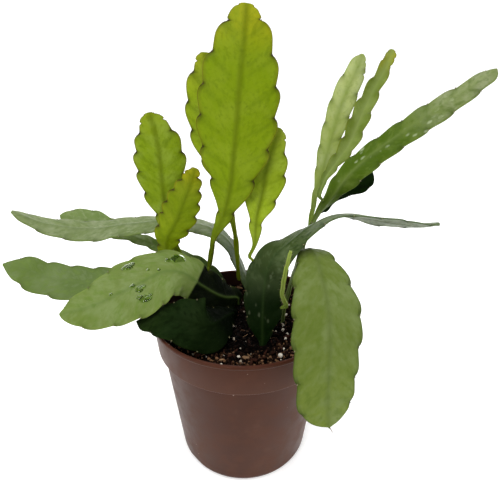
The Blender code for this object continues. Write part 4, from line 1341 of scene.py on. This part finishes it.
def scatter(name, plan, look, tree, rng):
    """Small uneven bodies strewn on the soil, each one closed and partly sunk, with painted shade near
    the crown.
    """
    points, faces = BALLS[plan["ball"]]
    heap = Heap()
    for _ in range(plan["count"]):
        out, x, y = soil_spot(SOIL_REACH, rng)
        size = rng.uniform(*plan["sizes"]) * rng.uniform(0.6, 1.0)
        middle = Vector((x, y, soil_height(x, y) + size * plan["rise"]))
        if tree.find(middle)[2] < size * 1.2 + 0.3 or out + size > SOIL_LIMIT:
            continue
        seed = rng.uniform(0, 90)
        lumps = [1 + 0.45 * noise.noise(Vector(p * 1.4 + seed)) for p in points]
        shaped = points * np.array(lumps)[:, None] * np.array(plan["stretch"]) * size
        # Painted shade: grains near the crown are darkened, fading out towards the rim
        dry = min(1.0, max(0.0, (out - CROWN_SHADE_REACH) / (SHADE_FADE_REACH - CROWN_SHADE_REACH)))
        light = CROWN_SHADE_BRIGHTNESS + (1 - CROWN_SHADE_BRIGHTNESS) * dry
        tag = (rng.random() * light, rng.random() * light ** 0.4, rng.random())
        heap.add(shaped @ turn_matrix(rng).T + np.array(middle), faces, tag)
    return heap.piece(name, look, "shape")


def fibres_piece(look, tree, rng):
    """Thin dry fibres that lie on the soil."""
    heap = Heap()
    for _ in range(FIBRES):
        _, x, y = soil_spot(FIBRE_REACH, rng)
        root = np.array((x, y, soil_height(x, y) + 0.3))
        if tree.find(Vector(root))[2] < FIBRE_CLEARANCE:
            continue
        turn = rng.uniform(0, math.tau)
        way = (math.cos(turn), math.sin(turn), rng.uniform(0.0, 0.25))
        fibre = hair(root, way, rng.uniform(*FIBRE_LENGTHS), FIBRE_RADIUS, rng.uniform(-1.5, 1.5))
        heap.add(*fibre, (0.6, rng.uniform(0.7, 1.0), 0.5))
    return heap.piece("soil_fibres", look, "shape")


def tent():
    """Round pale floor that rises into a wall far round the plant."""
    flat = TENT_RADIUS - TENT_BEND
    profile = [(0.0, 0.0), (flat, 0.0)]
    for step in range(1, BEND_STEPS + 1):
        angle = math.pi / 2 * step / BEND_STEPS
        profile.append((flat + TENT_BEND * math.sin(angle), TENT_BEND - TENT_BEND * math.cos(angle)))
    profile.append((TENT_RADIUS, TENT_HEIGHT))
    vertices, faces = turned(profile, TENT_SIDES, closed=False)
    floor = mesh_object("floor", np.array(vertices) / MM, faces, floor_material())


def area_light(name, place, size, power):
    data = bpy.data.lights.new(name, "AREA")
    data.shape = "DISK"
    data.size = size
    data.energy = power
    made = bpy.data.objects.new(name, data)
    made.location = place
    made.rotation_euler = (Vector(LIGHT_TARGET) - Vector(place)).to_track_quat("-Z", "Y").to_euler()
    bpy.context.collection.objects.link(made)


def lights():
    for name, (place, size, power) in LIGHTS.items():
        area_light(name, place, size, power)
    world = bpy.data.worlds.new("sky")
    world.use_nodes = True
    world.node_tree.nodes["Background"].inputs[0].default_value = (1.0, 1.0, 1.0, 1.0)
    world.node_tree.nodes["Background"].inputs[1].default_value = SKY_STRENGTH
    bpy.context.scene.world = world


def camera():
    data = bpy.data.cameras.new("camera")
    data.lens = CAMERA_LENS
    data.sensor_width = SENSOR_WIDTH
    data.sensor_fit = "HORIZONTAL"
    data.clip_start = 0.01
    made = bpy.data.objects.new("camera", data)
    made.location = CAMERA_PLACE
    tilt = Matrix.Rotation(math.radians(CAMERA_TILT), 3, "X")
    roll = Matrix.Rotation(math.radians(CAMERA_ROLL), 3, "Z")
    made.rotation_euler = (tilt @ roll).to_euler()
    bpy.context.collection.objects.link(made)
    bpy.context.scene.camera = made


def shoot_route(plan, parent):
    """Route of a shoot, from its seat in a notch of the parent's margin."""
    _, distance, side = plan["parent"]
    shift = parent.shift(side)
    distance = (round(distance / parent.pitch + shift) - shift) * parent.pitch
    away = parent.frame(distance)[3] * side
    foot = parent.margin(distance, side) + away * SEAT_GAP
    onward = unit(np.array(plan["route"][0][:3], float) - foot)
    neck = foot + unit(away + onward) * NECK_LENGTH
    facing = plan["route"][0][4:]
    return ((*foot, FOOT_WIDTH, *facing), (*neck, NECK_WIDTH, *facing)) + plan["route"]


def attach(piece, slot, *nodes):
    """Let a piece ride on the only body and hide the nodes that it stands for. Its slot is not used."""
    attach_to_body(piece, "root")
    if nodes:
        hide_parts(*nodes)


def build_plant():
    """All blades with their areoles. Returns the blades' pieces."""
    shape_rng = random.Random(SEED)
    hair_rng = random.Random(SEED + 1)
    blades = {}
    pieces = []
    pale = wool_material("areole_wool", PALE_WOOL)
    dark = wool_material("areole_scales", DARK_WOOL)
    for name, plan in {**STEMS, **SHOOTS}.items():
        rooted = name in STEMS
        if not rooted:
            plan = dict(plan, route=shoot_route(plan, blades[plan["parent"][0]]))
        blades[name] = Blade(name, plan, shape_rng)
        piece = blade_piece(blades[name], LOOKS[name], rooted)
        attach(piece, plan["slot"], name)
        pieces.append(piece)
        attach(areoles_piece(blades[name], hair_rng, dark if blades[name].young else pale), "areole_wool")
    attach(tip_hair_piece(blades["stem_hanging"], dark), "areole_wool")
    attach(drops_piece(blades["stem_front_left"], hair_rng), "water")
    return pieces


def build_soil(pieces):
    """The plug of soil and all that lies on it, clear of the blades' pieces."""
    rng = random.Random(SEED + 2)
    attach(soil_piece(), "soil_mix", "soil")
    tree = green_tree(pieces)
    looks = {}
    for name, plan in GRAINS.items():
        looks[name] = grain_material(plan["look"], plan["colours"], plan["roughness"])
    for name, plan in GRAINS.items():
        attach(scatter(name, plan, looks[name], tree, rng), plan["slot"])
    attach(fibres_piece(looks["bark_chips"], tree, rng), "bark")


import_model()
camera()
BALLS = {kind: ball(kind) for kind in (1, 2, 4)}
attach(pot_piece(), "pot_plastic", "pot")
build_soil(build_plant())
tent()
lights()
bpy.context.scene.view_settings.view_transform = "Standard"
